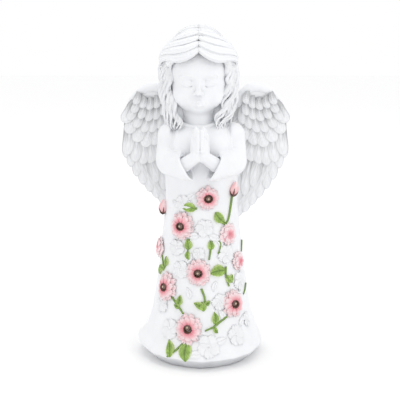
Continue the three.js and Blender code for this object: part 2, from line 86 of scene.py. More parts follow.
def robe_surface(angle, z, grow=0.0, section=None):
    """Points of the robe at angles from the front (towards +X), in radians, and heights."""
    angle, z = np.broadcast_arrays(np.asarray(angle, float), np.asarray(z, float))
    level = z if section is None else section
    corner = np.exp(-((np.angle(np.exp(1j * (angle + 1.57)))) / 0.55) ** 2)
    level = level - 4.0 * corner * np.exp(-((level - 13) / 8) ** 2)
    half, front, back = np.moveaxis(smooth_rows(ROBE_SECTIONS, level), -1, 0)
    depth = np.where(np.cos(angle) > 0, front, back)
    fade = np.clip(1 - level / FOLD_TOP, 0, 1)
    valley = fade ** 1.3 * (1.5 + 0.5 * np.cos(3 * angle + 0.6)) * (1 - np.cos(FOLDS * angle)) * 0.8
    valley = valley * (0.35 + 0.65 * np.clip((level - 8) / 22, 0, 1))
    creases = 0.35 * fade * np.cos(19 * angle + 2.0 * np.sin(2 * angle) + 0.02 * level)
    radius = grow - valley + creases + 3.4 * corner * np.exp(-((level - 10) / 6) ** 2)
    x = (half + radius) * np.sin(angle)
    y = -(depth + radius) * np.cos(angle)
    return np.stack([x, y, z], axis=-1)


def mesh_piece(name, points, faces, masks=None, smooth=True):
    """A new object from points in millimetres, with any painter's masks kept on its points."""
    mesh = bpy.data.meshes.new(name)
    points = np.asarray(points, float) + (0, AXIS_Y, 0)
    mesh.from_pydata((points * MM).tolist(), [], [list(map(int, face)) for face in faces])
    for mask, values in (masks or {}).items():
        layer = mesh.attributes.new(mask, "FLOAT", "POINT")
        layer.data.foreach_set("value", np.asarray(values, np.float32).ravel())
    mesh.shade_smooth() if smooth else mesh.shade_flat()
    piece = bpy.data.objects.new(name, mesh)
    bpy.context.scene.collection.objects.link(piece)
    return piece


def grid_faces(rows, columns, start=0, wrap=False, flip=False):
    """Quads over a grid of points, closed around its columns where wrap is set."""
    r, c = np.meshgrid(np.arange(rows - 1), np.arange(columns if wrap else columns - 1), indexing="ij")
    right = (c + 1) % columns
    quads = [r * columns + c, r * columns + right, (r + 1) * columns + right, (r + 1) * columns + c]
    quads = np.stack(quads[::-1] if flip else quads, axis=-1).reshape(-1, 4)
    return (quads + start).tolist()


def ring_cap(start, columns, flip=False):
    ring = list(range(start, start + columns))
    return [ring[::-1] if flip else ring]


# The land at the back: its own upright plane, leaning forward at the top.
LAND_Y, LAND_Z, LAND_LEAN = 38.4, 52.0, math.radians(10)
LAND_HALF_WIDTH, LAND_HALF_HEIGHT, LAND_CORNER = 28.0, 41.0, 5.0


def press_land(points):
    """Moves the robe's back in or out to the flat land with rounded corners."""
    x, y, z = points[..., 0], np.maximum(points[..., 1], 1e-3), points[..., 2]
    up = np.abs(z - LAND_Z) / math.cos(LAND_LEAN)
    plane = LAND_Y - (z - LAND_Z) * math.tan(LAND_LEAN)
    over = np.clip(up - (LAND_HALF_HEIGHT - LAND_CORNER), 0, LAND_CORNER)
    half = LAND_HALF_WIDTH - LAND_CORNER + np.sqrt(LAND_CORNER ** 2 - over ** 2)
    to_plane, to_side = plane / y, half / np.maximum(np.abs(x), 1e-3)
    factor = np.where(to_plane <= to_side, to_plane, np.maximum(to_side, 1))
    factor = np.where((up < LAND_HALF_HEIGHT) & (points[..., 1] > 5), factor, 1)
    return points * np.stack([factor, factor, np.ones_like(factor)], axis=-1)


ROBE_AROUND = 288
robe_heights = np.concatenate([np.linspace(0, 16, 30), np.linspace(16.8, ROBE_TOP, 190)])
around = np.linspace(0, 2 * np.pi, ROBE_AROUND, endpoint=False)
outer = press_land(robe_surface(around[None, :], robe_heights[:, None]))
cavity_heights = np.concatenate([np.linspace(0, HEM_BAND, 6), np.linspace(50, CAVITY_TOP, 20)])
inner = robe_surface(around[None, :], cavity_heights[:, None], -WALL,
                     np.maximum(cavity_heights, HEM_BAND)[:, None] + 0 * around[None, :])
outer_count, inner_count = len(robe_heights), len(cavity_heights)
robe_points = np.concatenate([outer.reshape(-1, 3), inner.reshape(-1, 3)])
inner_start = outer_count * ROBE_AROUND
robe_faces = grid_faces(outer_count, ROBE_AROUND, wrap=True)
robe_faces += grid_faces(inner_count, ROBE_AROUND, inner_start, wrap=True, flip=True)
robe_faces += ring_cap((outer_count - 1) * ROBE_AROUND, ROBE_AROUND)
robe_faces += ring_cap(inner_start + (inner_count - 1) * ROBE_AROUND, ROBE_AROUND, flip=True)
for i in range(ROBE_AROUND):
    j = (i + 1) % ROBE_AROUND
    robe_faces.append([j, i, inner_start + i, inner_start + j])
# Painted shade: the turned-in band under the hem and the inside of the robe are marked for grey.
hem_and_inside_shade = np.clip((9.8 - robe_points[:, 2]) / 1.2, 0, 1)
hem_and_inside_shade[inner_start:] = 1
robe = mesh_piece("robe", robe_points, robe_faces, {"hollow": hem_and_inside_shade})


class Shader:
    """Wires up one material or one shader node group."""

    def __init__(self, tree):
        self.tree = tree

    def node(self, kind, inputs=None, **settings):
        made = self.tree.nodes.new("ShaderNode" + kind)
        for setting, value in settings.items():
            setattr(made, setting, value)
        for socket, value in (inputs or {}).items():
            self.put(value, made.inputs[socket])
        return made

    def put(self, value, socket):
        if isinstance(value, bpy.types.NodeSocket):
            self.tree.links.new(value, socket)
        elif isinstance(value, (tuple, list)) and len(value) == 3 and socket.type == "RGBA":
            socket.default_value = (*value, 1)
        else:
            socket.default_value = value

    def mix(self, factor, a, b, blend="MIX"):
        made = self.node("Mix", data_type="RGBA", blend_type=blend)
        for value, socket in ((factor, made.inputs[0]), (a, made.inputs[6]), (b, made.inputs[7])):
            self.put(value, socket)
        return made.outputs[2]

    def math(self, operation, a, b=0.0):
        return self.node("Math", {0: a, 1: b}, operation=operation).outputs[0]

    def noise(self, scale, detail=3.0, roughness=0.55, where=None):
        spot = where or self.node("TexCoord").outputs["Object"]
        made = self.node("TexNoise", {"Vector": spot, "Scale": scale, "Detail": detail,
                                      "Roughness": roughness})
        return made.outputs["Fac"]

    def ramp(self, value, low, high, start=0.0, end=1.0):
        made = self.node("MapRange", {0: value, 1: low, 2: high, 3: start, 4: end})
        made.clamp = True
        return made.outputs[0]

    def mask(self, name):
        return self.node("Attribute", attribute_name=name).outputs["Fac"]


def effect(name, inputs, outputs, build):
    """A shader node group with named inputs and outputs, wired by build(shader, ins) -> outs."""
    tree = bpy.data.node_groups.new(name, "ShaderNodeTree")
    kinds = {"value": "NodeSocketFloat", "colour": "NodeSocketColor"}
    for socket, kind in inputs.items():
        tree.interface.new_socket(name=socket, in_out="INPUT", socket_type=kinds[kind])
    for socket, kind in outputs.items():
        tree.interface.new_socket(name=socket, in_out="OUTPUT", socket_type=kinds[kind])
    shader = Shader(tree)
    ins = tree.nodes.new("NodeGroupInput").outputs
    outs = tree.nodes.new("NodeGroupOutput").inputs
    for socket, value in build(shader, ins).items():
        tree.links.new(value, outs[socket])
    return tree


def build_casting(s, ins):
    # Cloudy pigment, grey painted shade in the recesses that the Hollow mask marks, and fine pits from the
    # mould.
    cloud = s.noise(38, 4)
    grain = s.noise(420, 3)
    pits = s.ramp(s.noise(1500, 2), 0.3, 0.42)
    # Painted shade: how much grey goes in, from the Hollow mask broken up by the cloud.
    wear_and_shade = s.math("MULTIPLY", ins["Hollow"], s.ramp(cloud, 0.25, 0.7, 0.72, 1.0))
    colour = s.mix(s.ramp(cloud, 0.35, 0.7, 0, 0.10), ins["Colour"], ins["Tone And Shade"])
    colour = s.mix(s.math("MULTIPLY", wear_and_shade, ins["Shade Amount"]), colour, ins["Tone And Shade"])
    rough = s.math("ADD", ins["Roughness"], s.ramp(grain, 0.3, 0.7, -0.05, 0.07))
    rough = s.math("ADD", rough, s.math("MULTIPLY", wear_and_shade, 0.12))
    height = s.math("ADD", s.math("MULTIPLY", grain, 0.5), s.math("MULTIPLY", pits, 0.5))
    return {"Colour": colour, "Roughness": rough, "Height": height}


casting_effect = effect(
    "cast_resin", {"Colour": "colour", "Tone And Shade": "colour", "Shade Amount": "value", "Hollow": "value",
                   "Roughness": "value"},
    {"Colour": "colour", "Roughness": "value", "Height": "value"}, build_casting)


def new_material(name, preview):
    material = bpy.data.materials.new(name)
    material.use_nodes = True
    material.diffuse_color = (*preview, 1)
    shader = Shader(material.node_tree)
    return material, shader, material.node_tree.nodes["Principled BSDF"]


def finish_surface(s, skin, colour, roughness, height, relief):
    s.put(colour, skin.inputs["Base Color"])
    s.put(roughness, skin.inputs["Roughness"])
    bump = s.node("Bump", {"Height": height, "Distance": relief * MM, "Strength": 1.0})
    s.put(bump.outputs[0], skin.inputs["Normal"])


def resin(name, colour, tone_and_shade, shade_amount, roughness=0.42, hollow=None):
    """Satin polyester resin, with grey painted shade in the places that the hollow mask marks."""
    material, s, skin = new_material(name, colour)
    group = s.node("Group", node_tree=casting_effect)
    sockets = {"Colour": colour, "Tone And Shade": tone_and_shade, "Shade Amount": shade_amount, "Roughness": roughness,
               "Hollow": s.mask(hollow) if hollow else 0.0}
    for socket, value in sockets.items():
        s.put(value, group.inputs[socket])
    finish_surface(s, skin, group.outputs["Colour"], group.outputs["Roughness"],
                   group.outputs["Height"], 0.10)
    skin.inputs["IOR"].default_value = 1.5
    skin.inputs["Subsurface Weight"].default_value = 0.12
    skin.inputs["Subsurface Radius"].default_value = (0.004, 0.004, 0.0045)
    skin.inputs["Subsurface Scale"].default_value = 0.5
    return material


WHITE = (0.885, 0.895, 0.915)
GREY_TONE_AND_SHADE = (0.50, 0.51, 0.53)
white_resin = resin("white_resin", WHITE, GREY_TONE_AND_SHADE, 0.0)
# The robe's grey is painted shade on the turned-in hem and inside the robe.
robe_resin = resin("robe_resin", WHITE, (0.42, 0.43, 0.45), 0.62, hollow="hollow")


def settle(piece, material, slot, *nodes, body="figure"):
    """Gives a piece its material and its place on the object."""
    piece.data.materials.clear()
    piece.data.materials.append(material)
    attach(piece, body)
    if nodes:
        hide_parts(*nodes)


settle(robe, robe_resin, "white_resin", "robe_shell")

# ---- the collar ----
# A rolled neckline, moulded with the robe. It dips a little under the chin.

BODY_LEAN = -2.5      # head, collar and hands sit this far to the figure's right


class Batch:
    """Collects closed forms, with their masks, into one mesh."""

    def __init__(self):
        self.points, self.faces, self.masks, self.count = [], [], {}, 0

    def add(self, points, faces, **masks):
        points = np.asarray(points, float).reshape(-1, 3)
        self.faces += [[i + self.count for i in face] for face in faces]
        for name, values in masks.items():
            self.masks.setdefault(name, []).append(np.broadcast_to(values, (len(points),)).ravel()
                                                   if np.ndim(values) == 0 else np.ravel(values))
        self.points.append(points)
        self.count += len(points)

    def piece(self, name, smooth=True):
        masks = {mask: np.concatenate(values) for mask, values in self.masks.items()}
        return mesh_piece(name, np.concatenate(self.points), self.faces, masks, smooth)


def smooth_path(points, count):
    """Evenly numbered points on a Catmull-Rom curve through the given ones."""
    p = np.asarray(points, float)
    p = np.concatenate([[2 * p[0] - p[1]], p, [2 * p[-1] - p[-2]]])
    t = np.linspace(0, len(p) - 3 - 1e-9, count)
    i = t.astype(int)
    u = (t - i)[:, None]
    a, b, c, d = p[i], p[i + 1], p[i + 2], p[i + 3]
    return 0.5 * (2 * b + (c - a) * u + (2 * a - 5 * b + 4 * c - d) * u ** 2
                  + (3 * b - a - 3 * c + d) * u ** 3)


def path_frames(path):
    """Two directions across a path at each of its points, turned as little as possible."""
    along = np.gradient(path, axis=0)
    along /= np.linalg.norm(along, axis=1, keepdims=True) + 1e-9
    start = np.array([0, 0, 1.0]) if abs(along[0][2]) < 0.9 else np.array([0, 1.0, 0])
    side = np.cross(along[0], start)
    sides = []
    for direction in along:
        side = side - direction * np.dot(side, direction)
        side /= np.linalg.norm(side) + 1e-9
        sides.append(side)
    sides = np.array(sides)
    return sides, np.cross(along, sides)


def rope(path, radius, sides=12, grooves=0, depth=0.0, twist=0.0, flat=1.0, frames=None):
    """A closed tube along a path, with grooves along it. Returns points, faces, how hollow, how far."""
    path = np.asarray(path, float)
    count = len(path)
    radius = np.broadcast_to(radius, (count,))[:, None]
    across, over = frames or path_frames(path)
    turn = np.linspace(0, 2 * np.pi, sides, endpoint=False)[None, :]
    along = np.linspace(0, 1, count)[:, None]
    wave = np.cos(grooves * turn + twist * along) if grooves else np.ones_like(turn)
    r = radius * (1 - depth * 0.5 * (1 - wave))
    points = (path[:, None, :] + (r * np.cos(turn))[..., None] * across[:, None, :]
              + (flat * r * np.sin(turn))[..., None] * over[:, None, :])
    faces = grid_faces(count, sides, wrap=True)
    faces += ring_cap(0, sides, flip=True) + ring_cap((count - 1) * sides, sides)
    hollow = 0.5 * (1 - wave) + 0 * r
    return points.reshape(-1, 3), faces, hollow.ravel(), (along + 0 * r).ravel()


turn = np.linspace(0, 2 * np.pi, 97)
collar_path = np.stack([BODY_LEAN + 20.5 * np.sin(turn), -1 - 18.0 * np.cos(turn),
                        214.8 - 3.4 * np.cos(turn) + 3.5 * np.sin(turn) ** 2], axis=1)
collar = Batch()
ring = collar_path[:-1]
across = np.stack([np.sin(turn[:-1]), -np.cos(turn[:-1]), 0 * turn[:-1]], axis=1)
section = np.linspace(0, 2 * np.pi, 12, endpoint=False)
collar_points = (ring[:, None, :] + 1.5 * np.cos(section)[None, :, None] * across[:, None, :]
                 + 2.1 * np.sin(section)[None, :, None] * np.array([0, 0, 1.0]))
loop = np.arange(96)[:, None]
near = np.arange(12)[None, :]
collar_faces = np.stack([loop * 12 + near, (loop + 1) % 96 * 12 + near,
                         (loop + 1) % 96 * 12 + (near + 1) % 12, loop * 12 + (near + 1) % 12], axis=-1)
collar.add(collar_points, collar_faces.reshape(-1, 4)[:, ::-1].tolist())
settle(collar.piece("collar"), white_resin, "white_resin")

# ---- the head ----
# A child's head with closed eyes, sculpted in clay and cast in the same white resin. The neck has
# a spigot that is glued into a socket between the shoulders.


class Clay:
    """A block of distances, in millimetres, that forms are blended into and carved out of."""

    def __init__(self, low, high, step):
        self.low, self.step = np.array(low, float), step
        axes = [np.arange(a, b + step, step, dtype=np.float32) for a, b in zip(low, high)]
        self.x, self.y, self.z = np.meshgrid(*axes, indexing="ij", sparse=True)
        self.d = np.full([len(axis) for axis in axes], 50, np.float32)

    def egg(self, centre, radii):
        offsets = [value - c for value, c in zip((self.x, self.y, self.z), centre)]
        near = np.sqrt(sum((o / r) ** 2 for o, r in zip(offsets, radii)))
        far = np.sqrt(sum((o / r ** 2) ** 2 for o, r in zip(offsets, radii)))
        return near * (near - 1) / np.maximum(far, 1e-6)

    def limb(self, start, end, start_radius, end_radius=None):
        end_radius = start_radius if end_radius is None else end_radius
        a, axis = np.array(start, float), np.array(end, float) - np.array(start, float)
        px, py, pz = self.x - a[0], self.y - a[1], self.z - a[2]
        t = np.clip((px * axis[0] + py * axis[1] + pz * axis[2]) / (axis @ axis), 0, 1)
        gap = np.sqrt((px - t * axis[0]) ** 2 + (py - t * axis[1]) ** 2 + (pz - t * axis[2]) ** 2)
        return gap - (start_radius + (end_radius - start_radius) * t)

    def cord(self, points, radius):
        parts = [self.limb(a, b, radius) for a, b in zip(points, points[1:])]
        return np.minimum.reduce(parts)

    def blend(self, form, soft=0.5):
        h = np.clip(0.5 + 0.5 * (self.d - form) / soft, 0, 1)
        self.d = self.d * (1 - h) + form * h - soft * h * (1 - h)

    def carve(self, form, soft=0.5):
        h = np.clip(0.5 - 0.5 * (self.d + form) / soft, 0, 1)
        self.d = self.d * (1 - h) - form * h + soft * h * (1 - h)

    def skin(self, relax=2):
        """The clay's surface as points and quads, smoothed a little."""
        inside = self.d < 0
        shape = np.array(self.d.shape) - 1
        corners = [(i, j, k) for i in (0, 1) for j in (0, 1) for k in (0, 1)]
        part = [inside[i:shape[0] + i, j:shape[1] + j, k:shape[2] + k] for i, j, k in corners]
        filled = sum(p.astype(np.int8) for p in part)
        cells = np.argwhere((filled > 0) & (filled < 8))
        values = np.stack([self.d[tuple((cells + c).T)] for c in corners], axis=1)
        total, hits = np.zeros((len(cells), 3)), np.zeros((len(cells), 1))
        for a in range(8):
            for b in range(a + 1, 8):
                step = np.subtract(corners[b], corners[a])
                if abs(step).sum() != 1:
                    continue
                cross = (values[:, a] < 0) != (values[:, b] < 0)
                t = np.where(cross, values[:, a] / np.where(cross, values[:, a] - values[:, b], 1), 0)
                total += np.where(cross[:, None], corners[a] + t[:, None] * step, 0)
                hits += cross[:, None]
        points = (cells + total / hits) * self.step + self.low
        number = -np.ones(shape, int)
        number[tuple(cells.T)] = np.arange(len(cells))
        quads = []
        for axis in range(3):
            u, v = (axis + 1) % 3, (axis + 2) % 3
            ahead = np.moveaxis(inside, axis, 0)
            change = np.moveaxis(ahead[1:] != ahead[:-1], 0, axis)
            edges = np.argwhere(change)
            edges = edges[(edges[:, u] > 0) & (edges[:, v] > 0)]
            edges = edges[(edges[:, u] < shape[u]) & (edges[:, v] < shape[v])]
            corner = []
            for du, dv in ((1, 1), (0, 1), (0, 0), (1, 0)):
                spot = edges.copy()
                spot[:, u] -= du
                spot[:, v] -= dv
                corner.append(number[tuple(spot.T)])
            quad = np.stack(corner, axis=1)
            outward = inside[tuple(edges.T)]
            quads.append(np.where(outward[:, None], quad, quad[:, ::-1]))
        quads = np.concatenate(quads)
        for _ in range(relax):
            total, hits = np.zeros_like(points), np.zeros((len(points), 1))
            for a, b in ((0, 1), (1, 2), (2, 3), (3, 0)):
                np.add.at(total, quads[:, a], points[quads[:, b]])
                np.add.at(hits, quads[:, a], 1)
            points = 0.5 * points + 0.5 * total / hits
        return points, quads.tolist()


def both(form):
    """Calls form(side) for the figure's left and right."""
    for side in (1, -1):
        form(side)


BROW, EYE, NOSE, MOUTH, CHIN = 257.0, 250.5, 241.0, 234.0, 225.0
EYE_SPREAD = 9.6

face = Clay((-28, -38, 202), (28, 14, 282), 0.5)
face.blend(face.egg((0, 1, 262), (26.5, 29, 31)))
face.blend(face.egg((0, -7, 248), (23.5, 22, 24)), 6)
face.blend(face.egg((0, -9.5, 264), (21.5, 20.0, 16)), 8)
face.blend(face.egg((0, -8, 234), (15.5, 16, 9)), 8)
both(lambda side: face.blend(face.egg((side * 12.5, -17.0, 240.0), (9.0, 9.5, 9.0)), 5))
face.blend(face.egg((0, -21, CHIN + 5.6), (6.5, 6.6, 5.2)), 6)
face.blend(face.egg((0, -25.0, MOUTH + 0.6), (8.5, 5.2, 6.0)), 4)
both(lambda side: face.carve(face.egg((side * EYE_SPREAD, -32.0, EYE + 1.8), (6.4, 5.4, 4.6)), 4))


def eyelid(side):
    x = side * EYE_SPREAD
    face.blend(face.egg((x, -22.4, EYE + 0.4), (5.9, 4.9, 4.5)), 0.9)
    lashes = [(x + u, -27.4 + 0.055 * u * u, EYE - 1.9 + 0.06 * u * u) for u in np.linspace(-5.2, 5.2, 9)]
    crease = [(x + u, -27.0 + 0.05 * u * u, EYE + 3.2 - 0.055 * u * u) for u in np.linspace(-5, 5, 9)]
    face.carve(face.cord([(a, b, c - 0.9) for a, b, c in lashes], 0.75), 0.8)
    face.blend(face.cord(lashes, 0.5), 0.5)
    face.carve(face.cord(crease, 0.5), 0.9)
    brow = [(x + side * u, -28.3 + 0.035 * (u + 3) ** 2, BROW + 0.7 - 0.05 * (u - 0.5) ** 2)
            for u in np.linspace(-5, 6, 8)]
    face.blend(face.cord(brow, 0.7), 1.6)


both(eyelid)
face.blend(face.limb((0, -28.2, EYE + 2.5), (0, -33.0, NOSE + 2.8), 1.7, 2.4), 2.6)
face.blend(face.egg((0, -33.4, NOSE + 2.3), (2.9, 2.6, 2.3)), 1.6)
both(lambda side: face.blend(face.egg((side * 3.1, -31.0, NOSE + 1.5), (1.8, 2.3, 1.7)), 1.2))
both(lambda side: face.carve(face.egg((side * 1.5, -32.6, NOSE - 0.3), (0.85, 1.3, 0.8)), 0.5))
face.carve(face.limb((0, -31.0, NOSE - 1.5), (0, -30.6, MOUTH + 2.6), 0.5, 0.7), 1.2)
both(lambda side: face.blend(
    face.limb((side * 5.4, -28.4, MOUTH + 0.4), (side * 0.9, -30.9, MOUTH + 1.5), 0.7, 1.35), 0.8))
both(lambda side: face.blend(
    face.limb((side * 4.0, -29.0, MOUTH - 1.4), (0, -30.6, MOUTH - 2.0), 0.8, 1.7), 0.8))
mouth_line = [(u, -32.2 + 0.09 * u * u, MOUTH + 0.05 * abs(u) - 0.2) for u in np.linspace(-6.0, 6.0, 13)]
face.carve(face.cord(mouth_line, 0.5), 0.5)
face.carve(face.limb((-3, -29.0, MOUTH - 5.0), (3, -29.0, MOUTH - 5.0), 0.8), 3.0)
face.blend(face.limb((0, -1.5, 238), (0, 0, 204), 14.0, 17.0), 4)
face_points, face_faces = face.skin(3)
face_piece = mesh_piece("face_and_neck", face_points + (BODY_LEAN, 0, 0), face_faces)
settle(face_piece, white_resin, "white_resin", "head_with_hair")

# ---- the hair ----
# Wavy shoulder-length hair, parted in the middle, part of the head's casting. Broad locks sweep
# off the forehead and hang in waves at both sides of the neck.

# The hair's grey is painted shade: in the grooves of the locks, on their inward sides and on the scalp
# between them.
hair_resin = resin("hair_resin", WHITE, GREY_TONE_AND_SHADE, 0.5, hollow="hollow")
HEAD_MIDDLE = np.array([0, 4.5, 252])

scalp = Clay((-42, -36, 206), (42, 48, 303), 0.8)
scalp.blend(scalp.egg((0, 4.5, 264), (28.5, 32, 34.5)))
scalp.blend(scalp.egg((0, 22, 238), (24, 14, 32)), 8)
both(lambda side: scalp.blend(scalp.egg((side * 25.5, 3, 238), (6.5, 10, 28)), 6))
both(lambda side: scalp.blend(scalp.egg((side * 18.5, 0, 223), (7.5, 13, 17)), 4))
scalp.carve(scalp.egg((0, -36, 250), (21.0, 27, 27)), 3)
scalp.carve(scalp.egg((0, -26, 226), (11, 22, 20)), 3)
scalp_points, scalp_faces = scalp.skin(3)

# Five locks of the left side, from the front of the parting to the nape.
LOCKS = [
    [(-0.8, -30, 281), (9, -31, 279), (17, -28, 276), (23.5, -22, 269.5), (25.0, -16, 260),
     (24.1, -14.5, 249), (22.6, -15, 238), (18.8, -16, 228), (16.2, -18, 219), (16.8, -20.5, 210)],
    [(-0.8, -17, 292.5), (11, -17, 290), (19.5, -13, 282.5), (27, -8, 271.5), (31, -4, 259), (31, -3, 247),
     (30.5, -4, 236), (28, -6, 224), (24.5, -8, 215), (23, -9, 209)],
    [(-0.8, 6, 298.2), (10.5, 8, 295), (20.5, 11, 286), (28.5, 13, 273), (31.5, 14, 259), (31, 15, 246),
     (30, 17, 233), (27, 19, 221), (25, 19, 213), (24, 19, 208)],
    [(-0.8, 22, 293), (7, 29, 285), (14, 33.5, 271), (17, 35, 256), (17.5, 34.5, 241), (16.5, 33, 229),
     (16, 31.5, 219), (15, 30, 212), (14, 29, 207), (14, 29, 204)],
    [(-0.8, 26, 290), (1.0, 34, 282), (1.8, 39.2, 268), (2.2, 40, 254), (2.4, 39, 239), (2.4, 37, 227),
     (2.4, 35, 217), (2.3, 33, 211), (2.2, 32, 207), (2.2, 32, 203)],
]
LOCK_STEPS = 44
WAVE_LENGTH = 21.0
lock_sheet = smooth_path(np.array([smooth_path(lock, LOCK_STEPS) for lock in LOCKS]).reshape(5, -1), 61)


def hair_lock(batch, side, place, radius, wave, phase, lift=0.0, start=0.0, grooves=5):
    """One lock: place runs from 0 at the forehead to 1 at the nape."""
    path = lock_sheet[int(round(place * 60))].reshape(LOCK_STEPS, 3)
    path = path[int(start * LOCK_STEPS):] * (side, 1, 1)
    t = np.linspace(start, 1, len(path))
    out = path - HEAD_MIDDLE
    out[:, 2] *= 0.45 * (t < 0.5)
    out /= np.linalg.norm(out, axis=1, keepdims=True)
    along = np.gradient(path, axis=0)
    step = np.linalg.norm(along, axis=1)
    along /= step[:, None]
    across = np.cross(along, out)
    across /= np.linalg.norm(across, axis=1, keepdims=True)
    over = np.cross(across, along)
    run = np.cumsum(step)
    swing = wave * np.clip((t - 0.30) / 0.22, 0, 1) * np.sin(run * 2 * np.pi / WAVE_LENGTH + phase)
    bob = 0.4 * wave * np.clip((t - 0.34) / 0.22, 0, 1) * np.cos(run * 2 * np.pi / WAVE_LENGTH + phase)
    path = path + across * swing[:, None] + over * (bob + lift)[:, None]
    width = radius * np.interp(t, [0, 0.08, 0.3, 0.8, 1], [0.6, 0.95, 1.05, 0.85, 0.25])
    points, faces, grooved, _ = rope(path, width, 16, grooves, 0.34, 5.0, 0.85, (across, over))
    facing = np.tile(np.sin(np.linspace(0, 2 * np.pi, 16, endpoint=False)), len(path))
    # Painted shade in the grooves and on the side of the lock that faces the head.
    hollow = np.clip(0.35 * grooved + 0.9 * (0.45 - facing), 0, 1)
    batch.add(points, faces, hollow=hollow)


# Four broad locks swoop from the parting over the forehead and curl up at the temple.
SWOOPS = [
    [(-0.4, -30.5, 281.5), (6, -33.2, 277.2), (12.5, -32.6, 274.2), (19, -29.2, 273.0), (25, -22.5, 273.2),
     (30, -14, 272.6), (33.2, -7, 269), (33.2, -2, 264.5)],
    [(-0.4, -28, 286), (6.5, -31, 282.6), (13.5, -30.2, 280.0), (20.5, -26, 278.6), (26.5, -19, 277.6),
     (31, -11, 275.6), (33.5, -3.5, 271.5), (33, 2, 266)],
    [(-0.4, -24, 290.5), (7, -26.5, 287.6), (14.5, -25, 285.4), (21.5, -20, 283.4), (27, -12.5, 281),
     (30.8, -4.5, 277.5), (32.5, 3, 272.5), (32, 8, 266)],
    [(-0.4, -17, 294.3), (7, -19, 292.4), (14.5, -17, 290.0), (21, -11.5, 287), (26.5, -4.5, 283),
     (30, 3, 278), (31.5, 9, 272), (31.2, 13, 266)],
]


def swoop(batch, side, guide, radius, phase):
    path = smooth_path(guide, 40) * (side, 1, 1)
    t = np.linspace(0, 1, 40)
    out = path - HEAD_MIDDLE
    out /= np.linalg.norm(out, axis=1, keepdims=True)
    along = np.gradient(path, axis=0)
    along /= np.linalg.norm(along, axis=1, keepdims=True)
    across = np.cross(along, out)
    across /= np.linalg.norm(across, axis=1, keepdims=True)
    over = np.cross(across, along)
    path = path + across * (1.2 * np.clip(t - 0.45, 0, 1) * np.sin(t * 11 + phase))[:, None]
    width = radius * np.interp(t, [0, 0.07, 0.35, 0.75, 1], [0.45, 0.8, 1.1, 0.9, 0.3])
    points, faces, grooved, _ = rope(path, width, 40, 7, 0.20, 3.5, 0.62, (across, over))
    facing = np.tile(np.sin(np.linspace(0, 2 * np.pi, 40, endpoint=False)), 40)
    # Painted shade in the grooves and on the underside of the swoop.
    batch.add(points, faces, hollow=np.clip(0.35 * grooved + 0.6 * (0.1 - facing), 0, 1))


hair = Batch()
# The scalp under the locks is painted in shade.
hair.add(scalp_points, scalp_faces, hollow=0.8)
for side in (1, -1):
    for step, guide in enumerate(SWOOPS):
        swoop(hair, side, guide, 4.3 - 0.2 * step, 1.3 * step + 2.0 * (side < 0))
chance = np.random.default_rng(7)
for side in (1, -1):
    for i in range(23):
        place = (i + 0.2) / 22.2
        wave = 2.2 + 1.0 * chance.random()
        hair_lock(hair, side, place, 2.9, wave, 0.8 * i + 1.4 * chance.random() + 1.5 * (side < 0),
                  0.8 * (i % 2), 0.0, 3 if i < 3 else 5)
    for i in range(14):
        place = 0.01 + i / 15
        start = 0.32 + 0.14 * chance.random()
        hair_lock(hair, side, place, 2.0, 3.2, 1.3 * i + 2.2 * (side > 0), 1.8, start, 3)
hair_piece = hair.piece("hair")
for vertex in hair_piece.data.vertices:
    vertex.co.x += BODY_LEAN * MM
settle(hair_piece, hair_resin, "white_resin", "head_with_hair")

# ---- the arms ----
# Two wide bell sleeves, cast on their own and glued on at the shoulder. The forearms come forward
# to the middle, and the sleeves' open ends hang down round the wrists.


def arm(side):
    low, high = sorted((side * 46.0, side * -2.0 - 3.0))
    box = (low, -54, 160), (high, 16, 222), 0.6
    body = Clay(*box)
    body.blend(body.egg((side * 26.5, -1, 202.5), (12, 14, 11.5)))
    body.blend(body.limb((side * 29, -5, 203), (side * 30.5, -10, 187), 9.4, 9.8), 4)
    chest = np.maximum(body.egg((side * 11.5, -6.5, 195), (17.5, 24.8, 19)), -1.0 - side * (body.x + 1.3))
    body.blend(chest, 1.5)
    middle = np.maximum(body.egg((side * 3.5, -7, 196), (12.5, 23.2, 17.5)), -1.0 - side * (body.x + 1.3))
    body.blend(middle, 3)
    crease = [(side * 24.3 - 0.8, -8, 213), (side * 24.5 - 0.8, -12.0, 208.5),
              (side * 24.6 - 0.8, -18.0, 203.5), (side * 24.6 - 0.8, -21.5, 192.5)]
    body.carve(body.cord(crease, 1.7), 2.4)

    sleeve = Clay(*box)
    cuff = np.array([side * 12.4 - 1.0, -37.5, 181.6])
    elbow = np.array([side * 28.5, -15, 181.5])
    drop = np.array([0, 0, -4.0])
    facing = np.array([side * -0.83, -0.24, 0.50])
    beyond = 9 * np.array([side * -0.85, -0.50, 0.0])
    sleeve.blend(sleeve.egg((side * 30.2, -12, 182), (10.3, 13, 12.5)))
    sleeve.blend(sleeve.limb(elbow, cuff, 10.3, 10.0), 3)
    sleeve.blend(sleeve.limb(elbow + drop, cuff + drop, 9.0, 9.6), 3)
    sleeve.blend(sleeve.limb(cuff, cuff + beyond, 10.0, 10.0), 2)
    sleeve.blend(sleeve.limb(cuff + drop, cuff + drop + beyond, 9.8, 9.2), 2)
    past = -(facing[0] * (sleeve.x - cuff[0]) + facing[1] * (sleeve.y - cuff[1])
             + facing[2] * (sleeve.z - cuff[2]))
    sleeve.carve(past, 2.2)
    deep = cuff + 0.2 * (elbow - cuff)
    for offset, inside, wide in ((0, 6.0, 8.0), (1, 5.2, 7.4)):
        sleeve.carve(sleeve.limb(deep + offset * drop, cuff + offset * drop, inside, wide), 1.0)
        sleeve.carve(sleeve.limb(cuff + offset * drop, cuff + offset * drop + 1.4 * beyond, wide, wide), 1.0)
    body.blend(sleeve.d, 1.2)
    ledge = [(side * 27.5, -24.5, 192.6), (side * 20, -30.2, 192.8), (side * 11, -33.2, 192.6)]
    body.carve(body.cord(ledge, 0.7), 1.3)
    return body.skin(2)


